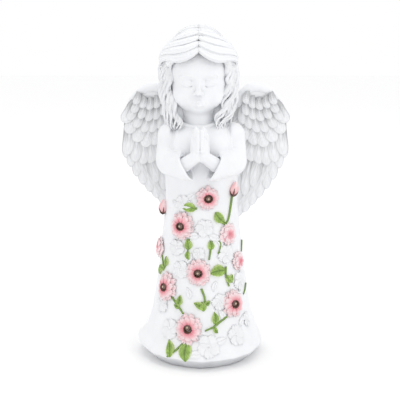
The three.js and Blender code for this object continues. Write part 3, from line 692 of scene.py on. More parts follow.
left_points, left_faces = arm(1)
settle(mesh_piece("left_sleeve", left_points, left_faces), white_resin, "white_resin", "left_arm")
right_points, right_faces = arm(-1)
settle(mesh_piece("right_sleeve", right_points, right_faces), white_resin, "white_resin", "right_arm")

# ---- the praying hands ----
# Both hands are one casting, palm to palm, with the wrists glued into the sleeves.

hands = Clay((-22, -55, 172), (22, -28, 219), 0.4)
HANDS_X = -1.3
FINGER_TIPS = [213.5, 215.5, 213.5, 209.0]


def hand(side):
    for i, top in enumerate(FINGER_TIPS):
        root = (side * (1.6 + 1.65 * i), -47.5 + 2.5 * i, 195)
        tip = (side * (1.5 + 1.5 * i), -47.0 + 2.6 * i, top - 1.7)
        hands.blend(hands.limb(root, tip, 2.0, 1.8), 0.3)
        hands.carve(hands.egg((side * (1.5 + 1.5 * i), -49.2 + 2.6 * i, top - 8.5), (0.9, 0.5, 0.5)), 0.8)
    hands.blend(hands.egg((side * 3.0, -42.0, 195), (4.0, 5.6, 9.0)), 1.6)
    hands.blend(hands.limb((side * 3.8, -42, 189), (side * 13.5, -37.5, 181.5), 5.2, 6.4), 2.6)
    hands.blend(hands.limb((side * 2.0, -37.5, 193), (side * 1.6, -36.5, 207), 2.4, 1.9), 1.0)


both(hand)
hands.carve(hands.limb((0, -56, 204), (0, -47.5, 196), 0.25, 0.25), 0.8)
hand_gap = [hands.limb((0, -56, z), (0, -46.0, z), 0.22) for z in np.arange(184, 214, 1.2)]
hands.carve(np.minimum.reduce(hand_gap), 0.6)
hand_points, hand_faces = hands.skin(2)
hands_piece = mesh_piece("hands", hand_points + (HANDS_X, 0, 0), hand_faces)
settle(hands_piece, white_resin, "white_resin", "praying_hands")

# ---- the wings ----
# Two mirrored castings that stand out behind the shoulders, glued into slots in the back. Each is
# a thick plate that curls back at its tip, with a rolled leading edge and rows of feathers on both
# faces. Grey is painted in as shade under each feather's root where the row above overlaps it, along
# its edges, on its underside and on the plate between the feathers; the barb grooves are darker too.

# The wings' grey is painted shade where the feathers overlap and on their undersides, and it darkens the
# barb grooves.
wing_resin = resin("wing_resin", WHITE, (0.33, 0.335, 0.34), 0.76, 0.46, "hollow")
WING_FRONT, WING_CURL, WING_DEPTH = 25.0, 0.0016, 10.0
WINGS_X = 1.8         # the pair sits this far to the figure's left

# x and z of the plate's edge, from the root over the top to the tip and back below
WING_EDGE = [(6, 150), (7, 198), (22, 205), (31, 215), (33, 232), (40, 240), (50, 241.5), (61, 237),
             (69, 229),
             (73, 219), (74, 208), (74, 190), (71, 176), (66, 164), (58, 152), (49, 142), (40, 133),
             (31, 126), (22, 123), (12, 132)]


def wing_front(x):
    return WING_FRONT + WING_CURL * x * x


# One row of feathers: tips from the outer edge inwards, the lean of the first and last towards the
# edge, their length and width, and how far the row stands off the plate.
FEATHER_ROWS = [
    ([(76.5, 176), (71.5, 166), (65.5, 155.5), (59, 146.5), (52, 138.5), (45, 131.5), (38, 125), (31, 120.5),
      (24, 119)], (-0.10, 0.50), 50, 10.2, 0.0),
    ([(46, 149), (38.5, 141), (31, 136), (24, 134)], (0.25, 0.05), 46, 9.5, 0.6),
    ([(75.5, 178.5), (67.5, 172), (59.5, 169.5), (52, 171), (44.5, 173.5), (37, 176), (29.5, 178.5)],
     (-0.12, 0.22), 34, 11.6, 1.2),
    ([(78, 209.5), (74.5, 199.5), (66.5, 191.5), (57.5, 187), (48.5, 189), (40.5, 194), (33, 199)],
     (-0.55, 0.12), 27, 12.6, 2.3),
    ([(73, 212), (66.5, 205), (58.5, 201), (50.5, 201), (43, 204.5), (36.5, 209)],
     (-0.45, 0.10), 19, 9.0, 3.3),
    ([(68.5, 219), (61.5, 213.5), (54, 211.5), (46.5, 213), (40, 217)], (-0.35, 0.05), 16, 8.0, 4.1),
    ([(66.5, 227), (60, 223.5), (53, 222), (46, 223.5), (40, 227.5)], (-0.35, 0.05), 12, 7.0, 4.8),
]


def feather(batch, root, tip, width, stand, face, bend=0.0, rows=24, columns=11):
    """A closed vane from root to tip; face is 1 on the wing's front and -1 on its back."""
    root, tip = np.array(root, float), np.array(tip, float)
    length = np.linalg.norm(tip - root)
    ahead = (tip - root) / length
    aside = np.array([ahead[1], -ahead[0]])
    t = np.linspace(0, 1, rows)[:, None]
    v = np.linspace(-1, 1, columns)[None, :]
    round_off = np.sqrt(np.clip(1 - np.clip((t - 0.72) / 0.28, 0, 1) ** 2.2, 0.02, 1))
    half = 0.5 * width * np.interp(t, [0, 0.35, 1], [0.55, 1, 1]) * round_off
    plan = root + ahead * (t * length)[..., None] + aside * (v * half)[..., None]
    plan = plan + aside * (bend * 4 * t * (1 - t) + 0 * v)[..., None]
    quill = np.exp(-(v / 0.16) ** 2) * (1 - 0.6 * t)
    barb = 0.5 - 0.5 * np.cos(2 * np.pi * (t * length / 1.75 - 0.75 * np.abs(v) * half / 1.75))
    barb = barb * (np.abs(v) > 0.12)
    rim = np.clip(np.abs(v), 0, 1) ** 4
    height = 1.35 - 0.5 * v * v + 0.45 * quill - 0.34 * barb * (1 - rim) - 0.35 * rim
    climb = stand + 1.3 * t + 0.35 * v
    top = -face * (climb + height * np.sqrt(round_off))
    low = -face * (climb - 1.6 + 0 * v)
    base = wing_front(plan[..., 0]) + (WING_DEPTH - 0.6 if face < 0 else 0.6)
    upper = np.stack([plan[..., 0], base + top, plan[..., 1]], axis=-1)
    lower = np.stack([plan[..., 0], base + low, plan[..., 1]], axis=-1)
    faces = closed_sheet_faces(rows, columns, face < 0)
    # Painted shade at the root under the row above and along the edges; the barb grooves are darker and the
    # quill is kept light.
    hollow = np.clip(0.8 * barb * (1 - rim) * (1.15 - t) + 0.55 * np.clip((np.abs(v) - 0.78) / 0.22, 0, 1)
                     + 1.3 * np.clip(1 - t / 0.68, 0, 1) - 0.6 * quill, 0, 1)
    # The underside of each feather is painted in full shade.
    underside_shade = np.ones_like(hollow)
    batch.add(np.concatenate([upper.reshape(-1, 3), lower.reshape(-1, 3)]), faces,
              hollow=np.concatenate([hollow.ravel(), underside_shade.ravel()]))


def closed_sheet_faces(rows, columns, flip=False):
    """Faces for an upper and a lower grid of points that are joined along all four edges."""
    count = rows * columns
    faces = grid_faces(rows, columns, flip=flip) + grid_faces(rows, columns, count, flip=not flip)
    border = [(r, 0) for r in range(rows)] + [(rows - 1, c) for c in range(1, columns)]
    border += [(r, columns - 1) for r in range(rows - 2, -1, -1)]
    border += [(0, c) for c in range(columns - 2, 0, -1)]
    ring = [r * columns + c for r, c in border]
    for a, b in zip(ring, ring[1:] + ring[:1]):
        side = [a, a + count, b + count, b]
        faces.append(side if not flip else side[::-1])
    return faces


def wing(name, side, node):
    batch = Batch()
    edge = np.array(WING_EDGE, float)
    edge = smooth_path(np.concatenate([edge, edge[:1]]), 121)[:-1]
    middle = np.array([44, 190])
    shares = np.linspace(0, 1, 16)[1:]
    plan = middle + (edge - middle)[None] * shares[:, None, None]
    thin = 2.2 * shares[:, None] ** 6
    rings = []
    for depth in (0.6 + thin, WING_DEPTH - 0.6 - thin):
        rings.append(np.stack([plan[..., 0], wing_front(plan[..., 0]) + depth, plan[..., 1]], axis=-1))
    count = plan.shape[0] * plan.shape[1]
    faces = grid_faces(15, 120, wrap=True, flip=True) + grid_faces(15, 120, count, wrap=True)
    outer_ring = 14 * 120
    for i in range(120):
        j = (i + 1) % 120
        faces.append([outer_ring + i, outer_ring + j, count + outer_ring + j, count + outer_ring + i][::-1])
    faces += ring_cap(0, 120) + ring_cap(count, 120, flip=True)
    # The plate between the feathers is painted in shade.
    batch.add(np.concatenate([ring.reshape(-1, 3) for ring in rings]), faces, hollow=0.9)
    for tips, (outer_lean, inner_lean), length, width, stand in FEATHER_ROWS:
        for i in reversed(range(len(tips))):
            t = i / (len(tips) - 1)
            lean = outer_lean + (inner_lean - outer_lean) * t
            tip = np.array(tips[i], float)
            root = tip + length * np.array([math.sin(lean), math.cos(lean)])
            feather(batch, root, tip, width, stand, 1, 1.2)
            feather(batch, root, tip, width, 0.8 * stand, -1, 1.2)
    ridge = smooth_path([(33, 205), (33, 216), (33.5, 228), (38, 237), (47, 241.5), (58, 238.5), (67, 231.5),
                         (72.5, 222), (75, 214)], 70)
    ridge = np.stack([ridge[:, 0], wing_front(ridge[:, 0]) + 1.8, ridge[:, 1]], axis=1)
    size = np.interp(np.linspace(0, 1, 70), [0, 0.15, 0.45, 0.75, 1], [3.0, 4.6, 5.4, 4.2, 1.4])
    tube_points, tube_faces, _, _ = rope(ridge, size, 18)
    batch.add(tube_points, tube_faces, hollow=0.0)
    # The inner ridge gets a little painted shade.
    second = ridge + (np.array([52, 0, 205]) - ridge) * np.array([0.17, 0, 0.17])
    tube_points, tube_faces, _, _ = rope(second[2:-6], size[2:-6] * 1.1, 18)
    batch.add(tube_points, tube_faces, hollow=0.25)
    if side < 0:
        for points in batch.points:
            points[:, 0] *= -0.955
            points[:, 2] += 7 * np.clip((175 - points[:, 2]) / 45, 0, 1)
    for points in batch.points:
        points[:, 0] += WINGS_X
    piece = batch.piece(name)
    if side < 0:
        piece.data.flip_normals()
    settle(piece, wing_resin, "white_resin", node)


wing("left_wing_feathered", 1, "left_wing")
wing("right_wing_feathered", -1, "right_wing")

# ---- the flowers that hold the lamps ----
# Six resin flowers glued to the front of the robe, airbrushed pink from the middle outwards. Each
# has two rings of notched petals round a bore with a dark brown lip.

# angle from the front in degrees, height, petal length, and how much taller than wide
LIT_FLOWERS = [(9.7, 150.5, 10.4, 1.06), (-29.8, 125, 12.2, 1.06), (-4.2, 84.3, 11.4, 1.14),
               (-49.2, 68, 12.0, 1.10), (-14.4, 35, 13.0, 1.04), (40.3, 54.2, 12.2, 1.06)]
LAMP_RADIUS = 2.5
PETAL_FACE = 4.0      # the middle of a flower stands this far off the robe


def on_robe(place, u, v, lift):
    """Points on the robe near a place: u sideways, v upwards, and lift off the surface."""
    angle, z = math.radians(place[0]), place[1]
    here = robe_surface(np.array([angle - 0.01, angle + 0.01]), np.array([z, z]))
    reach = np.linalg.norm(here[1] - here[0]) / 0.02
    return robe_surface(angle + u / reach, z + v, lift)


def petal_paint(name, heart, middle, tip, spread=0.85):
    """Pink fades outwards from the flower's middle, in streaks along each petal."""
    material, s, skin = new_material(name, middle)
    along, across = s.mask("reach"), s.mask("across")
    streak = s.noise(300, 3)
    soft = s.math("ADD", along, s.ramp(streak, 0.3, 0.7, -0.10, 0.10))
    colour = s.mix(s.ramp(soft, 0.28, 0.55), heart, middle)
    colour = s.mix(s.ramp(soft, 0.45, spread), colour, tip)
    colour = s.mix(s.ramp(across, 0.5, 1.0, 0, 0.5), colour, tip)
    colour = s.mix(s.math("MULTIPLY", s.mask("hollow"), 0.8), colour, heart)
    # The lip with the bore's wall, and the buds' sepals, are dark brown.
    brown = s.mix(s.ramp(streak, 0.3, 0.7), (0.06, 0.028, 0.022), (0.17, 0.09, 0.06))
    colour = s.mix(s.ramp(along, 0.02, 0.07), brown, colour)
    rough = s.ramp(s.noise(400), 0.3, 0.7, 0.42, 0.56)
    finish_surface(s, skin, colour, rough, s.noise(900, 2), 0.06)
    skin.inputs["Subsurface Weight"].default_value = 0.1
    skin.inputs["Subsurface Radius"].default_value = (0.004, 0.002, 0.002)
    skin.inputs["Subsurface Scale"].default_value = 0.4
    return material


lit_petals = petal_paint("lit_petals", (0.74, 0.19, 0.24), (0.90, 0.43, 0.47), (0.955, 0.86, 0.87))


def petal(batch, place, turn, length, width, foot, face, rise, drop, notch, tilt=0.0, tall=1.0):
    """One petal as a closed sheet, from the flower's middle outwards, wrapped round the robe."""
    rows, columns = 15, 13
    t = np.linspace(0, 1, rows)[:, None]
    v = np.linspace(-1, 1, columns)[None, :]
    half = 0.5 * width * np.sin(np.pi * np.clip(0.10 + 0.68 * t ** 0.9, 0, 1))
    ragged = 0.05 * np.sin(7.3 * v + turn * 5) + 0.035 * np.sin(15 * v + turn * 11)
    end = 1 - 0.16 * v ** 2 - notch * np.exp(-(v / 0.2) ** 2) + ragged
    radial = foot + (length - foot) * t * (1 + (end - 1) * t ** 3)
    u = radial * math.sin(turn) + v * half * math.cos(turn)
    w = tall * (radial * math.cos(turn) - v * half * math.sin(turn))
    groove = 0.5 - 0.5 * np.cos(v * math.pi * 5)
    height = face + rise * np.sin(np.pi * t ** 0.8) - drop * t ** 2 + tilt * v
    height = height - (1 - v * v) * t * (1 - t) * 1.1 - 0.24 * groove * (0.3 + t)
    height = np.maximum(height + 0.35 * np.sin(4 * v + 3 * turn) * t ** 2, 0.5)
    top = on_robe(place, u, w, height)
    low = on_robe(place, u, w, np.maximum(height - 0.9 + 0.3 * t, 0.05))
    hollow = np.clip(groove * (1 - 0.6 * t), 0, 1)
    masks = {"reach": radial / length, "across": np.abs(v) + 0 * t, "hollow": hollow}
    masks = {name: np.concatenate([mask.ravel(), mask.ravel()]) for name, mask in masks.items()}
    sheet = np.concatenate([top.reshape(-1, 3), low.reshape(-1, 3)])
    batch.add(sheet, closed_sheet_faces(rows, columns, True), **masks)


def petal_ring(batch, place, radius, count, foot, face, rise, drop, spin, chance, tall=1.0, breadth=1.2):
    """A ring of petals, each a little different in length, turn and notch."""
    for k in range(count):
        turn = spin + 2 * math.pi * k / count + 0.16 * (chance.random() - 0.5)
        length = radius * (0.93 + 0.14 * chance.random())
        width = breadth * 2 * math.pi * 0.72 * radius / count
        notch = 0.06 + 0.12 * chance.random()
        petal(batch, place, turn, length, width, foot, face, rise, drop, notch, 0.25, tall)


def lip(batch, place, inner, outer, low, high):
    """A round lip with a bore, on the robe's surface."""
    around = 48
    turn = np.linspace(0, 2 * np.pi, around, endpoint=False)[None, :]
    profile = np.array([(inner, low), (inner, high - 0.5), (inner + 0.35, high), (outer - 0.5, high - 0.1),
                        (outer, high - 0.8), (outer, low)])
    r, h = profile[:, 0][:, None], profile[:, 1][:, None]
    points = on_robe(place, r * np.sin(turn), r * np.cos(turn), h + 0 * turn)
    faces = grid_faces(6, around, wrap=True)
    faces += [[i, (i + 1) % around, 5 * around + (i + 1) % around, 5 * around + i] for i in range(around)]
    batch.add(points, faces, reach=0.0, across=0.0, hollow=0.0)


for number, place in enumerate(LIT_FLOWERS, 1):
    flower = Batch()
    radius, tall = place[2:]
    chance = np.random.default_rng(number)
    spin = chance.random()
    foot = LAMP_RADIUS + 0.4
    petal_ring(flower, place, radius, 12, foot, PETAL_FACE, -0.5, 2.6, spin, chance, tall)
    petal_ring(flower, place, 0.80 * radius, 10, foot, PETAL_FACE, 0.7, 1.0, spin + 0.3, chance, tall)
    lip(flower, place, LAMP_RADIUS + 0.35, LAMP_RADIUS + 1.3, 0.2, PETAL_FACE + 1.0)
    settle(flower.piece(f"lamp_flower_{number}"), lit_petals, "pink_paint", f"lit_flower_{number}")

# ---- the lamps ----
# Round-topped lamps of clear epoxy, 5 mm across, pushed into the bores from inside the robe. The
# dome is opaque and painted with what shows through a clear one: a beige middle for the yellow
# phosphor over the chip, with its glints painted in, a dark ring of painted shade over the reflector
# cup, and a lighter brown rim.

lamp_epoxy, s, skin = new_material("lamp_epoxy", (0.3, 0.2, 0.12))
# The dome's colours paint what shows through it: beige phosphor with painted glints, a dark ring of painted
# shade, a lighter brown rim and darker patches.
depth = s.mask("reach")
tint = s.mix(s.ramp(depth, 0.26, 0.44), (0.60, 0.44, 0.30), (0.11, 0.06, 0.045))
tint = s.mix(s.ramp(depth, 0.66, 0.80), tint, (0.34, 0.22, 0.17))
tint = s.mix(s.ramp(s.noise(700), 0.3, 0.7, 0, 0.35), tint, (0.06, 0.035, 0.03))
finish_surface(s, skin, tint, s.ramp(s.noise(200), 0.3, 0.7, 0.10, 0.2), s.noise(500), 0.02)
skin.inputs["Coat Weight"].default_value = 0.6
skin.inputs["Coat Roughness"].default_value = 0.06


def robe_frame(place, lift=0.0):
    """An origin and three unit directions on the robe: sideways, up and outwards."""
    spots = on_robe(place, np.array([-1, 1, 0, 0, 0.0]), np.array([0, 0, -1, 1, 0.0]), np.zeros(5))
    up = spots[3] - spots[2]
    side = spots[1] - spots[0]
    out = np.cross(side, up)
    out /= np.linalg.norm(out)
    side /= np.linalg.norm(side)
    return spots[4] + lift * out, np.array([side, np.cross(out, side), out])


def turned(profile, around=32):
    """A closed turned form from (radius, height) rows, with its axis upwards."""
    rows = np.array(profile, float)
    turn = np.linspace(0, 2 * np.pi, around, endpoint=False)
    r, h = np.maximum(rows[:, :1], 0.02), rows[:, 1:2]
    points = np.stack([r * np.cos(turn), r * np.sin(turn), h + 0 * turn], axis=-1)
    faces = grid_faces(len(rows), around, wrap=True)
    faces += ring_cap(0, around, flip=True) + ring_cap((len(rows) - 1) * around, around)
    return points.reshape(-1, 3), faces


LAMP_TOP, LAMP_LENGTH = PETAL_FACE + 1.5, 8.6
dome = [(LAMP_RADIUS * math.cos(t), LAMP_TOP - LAMP_RADIUS + LAMP_RADIUS * math.sin(t))
        for t in np.linspace(0, math.pi / 2, 10)]
lamp_foot = LAMP_TOP - LAMP_LENGTH
lamp_profile = [(0, lamp_foot), (2.9, lamp_foot), (2.9, lamp_foot + 1), (LAMP_RADIUS, lamp_foot + 1)] + dome
for number, place in enumerate(LIT_FLOWERS, 1):
    origin, axes = robe_frame(place)
    points, faces = turned(lamp_profile)
    lamp = Batch()
    reach = np.hypot(points[:, 0], points[:, 1]) / LAMP_RADIUS
    lamp.add(origin + points @ axes, faces, reach=reach)
    settle(lamp.piece(f"lamp_{number}"), lamp_epoxy, "led_lens", f"led_{number}")

# ---- the pink flowers without lamps ----
# Three smaller flowers of the same casting resin, nearly white, blushed pink in the middle.

PINK_FLOWERS = [(41.6, 117, 9.6, 1.08), (58.7, 90.4, 9.4, 1.0), (-82, 100, 10.5, 1.0)]
blush_petals = petal_paint("blush_petals", (0.82, 0.33, 0.38), (0.93, 0.58, 0.62), (0.94, 0.87, 0.875), 0.75)
for number, place in enumerate(PINK_FLOWERS, 1):
    flower = Batch()
    radius, tall = place[2:]
    chance = np.random.default_rng(20 + number)
    petal_ring(flower, place, radius, 7, 0.4, 3.2, -0.3, 1.6, chance.random(), chance, tall, 1.25)
    petal_ring(flower, place, 0.72 * radius, 6, 0.4, 3.4, 0.8, 0.4, chance.random(), chance, tall, 1.2)
    origin, axes = robe_frame(place, 3.0)
    for k in range(9):
        turn_angle = k * 2.4
        spot = 1.7 * math.sqrt(k / 9)
        points, faces = turned([(0, -1), (0.5, -1), (0.5, 0.7), (0.35, 1.1), (0, 1.25)], 10)
        shift = (spot * math.cos(turn_angle), spot * math.sin(turn_angle), 0.3)
        flower.add(origin + (points + shift) @ axes, faces, reach=0.12, across=0.0, hollow=0.4)
    settle(flower.piece(f"blush_flower_{number}"), blush_petals, "pink_paint", f"pink_flower_{number}")

# ---- the buds ----
# Two closed pink buds with overlapping petals, each in a brown cup of sepals.

BUDS = [(58, 157, -18), (-80, 138, 6)]
bud_petals = petal_paint("bud_petals", (0.84, 0.43, 0.45), (0.92, 0.66, 0.67), (0.95, 0.85, 0.85), 0.8)
for number, (angle, z, lean) in enumerate(BUDS, 1):
    origin, axes = robe_frame((angle, z), 2.2)
    bud = Batch()
    t = np.linspace(0, 1, 26)[:, None]
    turn_angle = np.linspace(0, 2 * np.pi, 40, endpoint=False)[None, :]
    body = 3.7 * np.sin(np.pi * t ** 0.75) ** 0.8 * (1 + 0.10 * np.cos(3 * turn_angle + 5 * t)) + 0.05
    points = np.stack([body * np.cos(turn_angle), -6.5 + 13 * t + 0 * turn_angle,
                       body * np.sin(turn_angle)], axis=-1)
    faces = grid_faces(26, 40, wrap=True, flip=True) + ring_cap(0, 40) + ring_cap(25 * 40, 40, flip=True)
    fold = 0.5 - 0.5 * np.cos(3 * turn_angle + 5 * t)
    turn_in_plane = math.radians(lean)
    tilt = np.array([[math.cos(turn_in_plane), math.sin(turn_in_plane), 0],
                     [-math.sin(turn_in_plane), math.cos(turn_in_plane), 0], [0, 0, 1]])
    bud.add(origin + points.reshape(-1, 3) @ tilt @ axes, faces,
            reach=0.35 + 0.45 * t + 0 * fold, across=0.0 * fold,
            hollow=1 - fold * 0.8 + 0 * t)
    for k in range(5):
        bend = 2 * math.pi * k / 5
        rows = [(0.5, -7.2), (2.2, -5.6), (3.5, -3.0), (3.9, -0.6)]
        sepal = [(out * math.cos(bend), up, out * math.sin(bend)) for out, up in rows]
        path = smooth_path(sepal, 14)
        size = np.interp(np.linspace(0, 1, 14), [0, 0.3, 1], [0.9, 1.25, 0.2])
        points, faces, _, _ = rope(path, size, 10, flat=0.6)
        bud.add(origin + points @ tilt @ axes, faces, reach=0.0, across=0.0, hollow=0.0)
    settle(bud.piece(f"closed_bud_{number}"), bud_petals, "bud_paint", f"bud_{number}")

# ---- the leaves and stems ----
# Small sprigs of resin, moulded flat, laid over the robe between the flowers and painted green,
# with darker veins and stems.


def leaf_paint(name, dark, fresh, edge):
    material, s, skin = new_material(name, fresh)
    patch = s.ramp(s.noise(240, 3), 0.35, 0.65)
    colour = s.mix(patch, fresh, s.mix(0.5, fresh, dark))
    colour = s.mix(s.ramp(s.mask("across"), 0.72, 1.0, 0, 0.8), colour, edge)
    colour = s.mix(s.math("MULTIPLY", s.mask("hollow"), 0.85), colour, dark)
    rough = s.ramp(s.noise(300), 0.3, 0.7, 0.4, 0.55)
    finish_surface(s, skin, colour, rough, s.noise(800, 2), 0.06)
    return material


green_paint = leaf_paint("green_paint", (0.085, 0.15, 0.03), (0.35, 0.54, 0.11), (0.66, 0.76, 0.36))
# Stem points (angle, height), then leaves (angle, height, turn, length, width)
SPRIGS = [
    ([(-7, 141.5), (-13, 140.6), (-18, 140.2)], [(-8, 141, 88, 14, 8.5)]),
    ([(55.6, 150), (50, 139), (43, 129), (35, 126.5), (29, 130)], [(21, 137.5, -138, 13.5, 8.5)]),
    ([(-18, 114), (-19, 107), (-19.2, 99)], [(-18.5, 104, 8, 10, 7), (-19.2, 103, -172, 8, 4.5)]),
    ([(14.3, 112), (12.5, 104), (10.1, 95.5)], [(12.8, 104, 4, 9, 6)]),
    ([(-53, 92), (-56, 87), (-60, 82)], [(-58, 83, 96, 10, 6), (-54, 86, 10, 9, 5), (-70, 76, 12, 9, 5)]),
    ([(34, 88), (33.5, 79), (37, 70)],
     [(33, 85, 97, 15, 10.5), (33.7, 80, -140, 9.5, 5.5), (36, 74, -40, 8, 5)]),
    ([(-37.4, 60), (-28, 52), (-22, 46.5)], [(-30, 53, -12, 10, 6), (-27, 51, 60, 6, 4)]),
    ([(-0.2, 70), (3.8, 62), (3.5, 55.6)],
     [(3.4, 52, 62, 11, 6), (2.6, 50, 12, 9, 5.5), (3.5, 56, -60, 6, 4)]),
    ([(30, 43.8), (17, 37.5), (4, 33.5)], [(15.5, 38, 2, 11, 7), (14, 36, -150, 6, 4)]),
    ([(-19, 22), (-26, 16), (-33, 10.5)], [(-30, 10.5, 18, 14, 7.5), (-14.5, 23.5, 180, 15, 11)]),
]
# Stems and tendrils that belong to the robe's casting, painted like the sprigs.
MOULDED_STEMS = [[(84, 106), (80, 102), (75, 96.5)], [(79, 66), (72, 62), (64, 58.5)],
                 [(24.7, 112), (27.5, 109), (26, 104), (23.1, 100.5)], [(-73, 97), (-66, 90), (-60, 84)]]


def leaf(batch, place, turn, length, width, lift=1.0, relief=1.2):
    """A pointed leaf wrapped on the robe, from its stalk's end, with a midrib and side veins."""
    rows, columns = 21, 15
    t = np.linspace(0, 1, rows)[:, None]
    v = np.linspace(-1, 1, columns)[None, :]
    half = 0.5 * width * np.sin(np.pi * t ** 0.8) ** 0.85 + 0.05
    half = half * (1 + 0.05 * np.cos(t * 40))
    turn = math.radians(turn)
    along, aside = t * length, v * half + 0.08 * length * np.sin(np.pi * t)
    u = -along * math.sin(turn) + aside * math.cos(turn)
    w = along * math.cos(turn) + aside * math.sin(turn)
    vein = np.clip(np.cos(2 * np.pi * (t * length / 2.6 - np.abs(v) * half / 2.6)), 0, 1) ** 4
    vein = vein * (np.abs(v) < 0.85)
    rib = np.exp(-(v / 0.13) ** 2)
    height = lift + relief * np.sin(np.pi * np.clip(t, 0, 1)) ** 0.7 * (1 - 0.35 * (1 - np.abs(v)) ** 2)
    height = height - 0.30 * vein - 0.45 * rib - 0.5 * np.abs(v) ** 6
    top = on_robe(place, u, w, np.maximum(height, 0.25))
    low = on_robe(place, u, w, 0.05 + 0 * height)
    hollow = np.clip(0.75 * vein + rib, 0, 1)
    masks = {"across": np.abs(v) + 0 * t, "hollow": hollow}
    masks = {name: np.concatenate([mask.ravel(), mask.ravel()]) for name, mask in masks.items()}
    sheet = np.concatenate([top.reshape(-1, 3), low.reshape(-1, 3)])
    batch.add(sheet, closed_sheet_faces(rows, columns, True), reach=1.0, **masks)


def stem(batch, points, radius, lift=0.7):
    route = smooth_path(points, 6 * len(points))
    path = robe_surface(np.radians(route[:, 0]), route[:, 1], lift)
    tube_points, tube_faces, _, _ = rope(path, radius * np.linspace(1.1, 0.8, len(path)), 10)
    batch.add(tube_points, tube_faces, across=0.5, hollow=0.6, reach=1.0)


for number, (route, leaves) in enumerate(SPRIGS, 1):
    sprig = Batch()
    stem(sprig, route, 0.95)
    for angle, z, turn_angle, length, width in leaves:
        leaf(sprig, (angle, z), turn_angle, length, width)
    settle(sprig.piece(f"leaf_sprig_{number}"), green_paint, "leaf_paint", f"sprig_{number}")
tendrils = Batch()
for route in MOULDED_STEMS:
    stem(tendrils, route, 0.7)
settle(tendrils.piece("moulded_stems"), green_paint, "leaf_paint")

# ---- the white blossoms ----
# Blossoms and leaves in low relief between the painted ones. They are part of the robe's casting
# and were left white.

# A faint grey is painted into the relief's grooves and veins as shade.
relief_resin = resin("relief_resin", WHITE, (0.60, 0.59, 0.60), 0.12, hollow="hollow")
WHITE_BLOSSOMS = [(4, 124, 8.5), (23, 57, 8), (7, 21, 10), (38, 27, 9), (-36, 33, 9), (-55, 52, 9),
                  (58, 72, 9), (36, 99, 9), (-28, 86, 8.5), (-36, 105, 8), (62, 36, 7), (-30, 145, 8),
                  (-4, 101, 6)]
WHITE_LEAVES = [(10, 118, -110, 13, 6), (-3, 117, 100, 12, 6), (28, 40, 30, 12, 6), (14, 24, -80, 12, 6),
                (0, 15, 100, 12, 6), (45, 34, -50, 11, 6), (-48, 46, 60, 11, 6), (64, 78, -20, 11, 5),
                (-22, 92, -30, 11, 5), (-42, 98, 30, 11, 5), (30, 106, 30, 11, 5), (48, 62, -100, 10, 5),
                (-38, 141, 60, 10, 5), (-24, 149, -50, 10, 5), (20, 76, 160, 10, 5), (-14, 60, 20, 11, 5)]
relief = Batch()
for number, place in enumerate(WHITE_BLOSSOMS):
    chance = np.random.default_rng(50 + number)
    petal_ring(relief, place, place[2], 5, 0.4, 1.5, 0.5, 0.5, chance.random(), chance, 1.0, 1.05)
    origin, axes = robe_frame(place, 1.2)
    points, faces = turned([(0, -1), (1.4, -1), (1.3, 0.3), (0.8, 0.8), (0, 1.0)], 16)
    relief.add(origin + points @ axes, faces, reach=0.5, across=0.0, hollow=0.2)
for angle, z, turn_angle, length, width in WHITE_LEAVES:
    leaf(relief, (angle, z), turn_angle, length, width, 0.5, 0.8)
settle(relief.piece("white_relief"), relief_resin, "white_resin")

# ---- the solar frame ----
# A black moulded frame over the solar unit, screwed to the flat land in the robe's back through
# four counterbored corners. It has a window for the cell and a slot for the switch.

SOLAR_ORIGIN = np.array([0, LAND_Y, LAND_Z])
SOLAR_AXES = np.array([[-1, 0, 0], [0, -math.sin(LAND_LEAN), math.cos(LAND_LEAN)],
                       [0, math.cos(LAND_LEAN), math.sin(LAND_LEAN)]])
TUB_SIZE, FRAME_SIZE, CELL_SIZE, CELL_Y, SWITCH_Y = (40, 66), (50, 76), (34, 44), 9, -27
FRAME_BACK, FRAME_FACE = 2.6, 5.0
FRAME_SCREWS = [(x * 22.3, y * 35.3) for x in (-1, 1) for y in (-1, 1)]


def in_solar(points):
    return SOLAR_ORIGIN + points @ SOLAR_AXES


def rounded_outline(width, height, corner, x=0.0, y=0.0):
    turn = np.linspace(0, 2 * np.pi, 64, endpoint=False)
    quarter = np.floor(turn / (np.pi / 2)) * np.pi / 2 + np.pi / 4
    middle = np.stack([np.sign(np.cos(quarter)) * (width / 2 - corner),
                       np.sign(np.sin(quarter)) * (height / 2 - corner)], axis=1)
    return middle + corner * np.stack([np.cos(turn), np.sin(turn)], axis=1) + (x, y)


def prism(clay, outline, low, high):
    """The distance form of an upright prism over an outline that runs anticlockwise."""
    px, py = clay.x[..., 0], clay.y[..., 0]
    px, py = np.broadcast_arrays(px, py)
    nearest = np.full(px.shape, 1e9)
    inside = np.zeros(px.shape, bool)
    for (ax, ay), (bx, by) in zip(outline, np.roll(outline, -1, axis=0)):
        ex, ey = bx - ax, by - ay
        t = np.clip(((px - ax) * ex + (py - ay) * ey) / max(ex * ex + ey * ey, 1e-9), 0, 1)
        nearest = np.minimum(nearest, (px - ax - t * ex) ** 2 + (py - ay - t * ey) ** 2)
        if ay != by:
            inside ^= ((ay > py) != (by > py)) & (px < ax + (py - ay) * ex / (by - ay))
    flat = (np.sqrt(nearest) * np.where(inside, -1, 1))[..., None]
    return np.maximum(flat, np.abs(clay.z - (low + high) / 2) - (high - low) / 2)


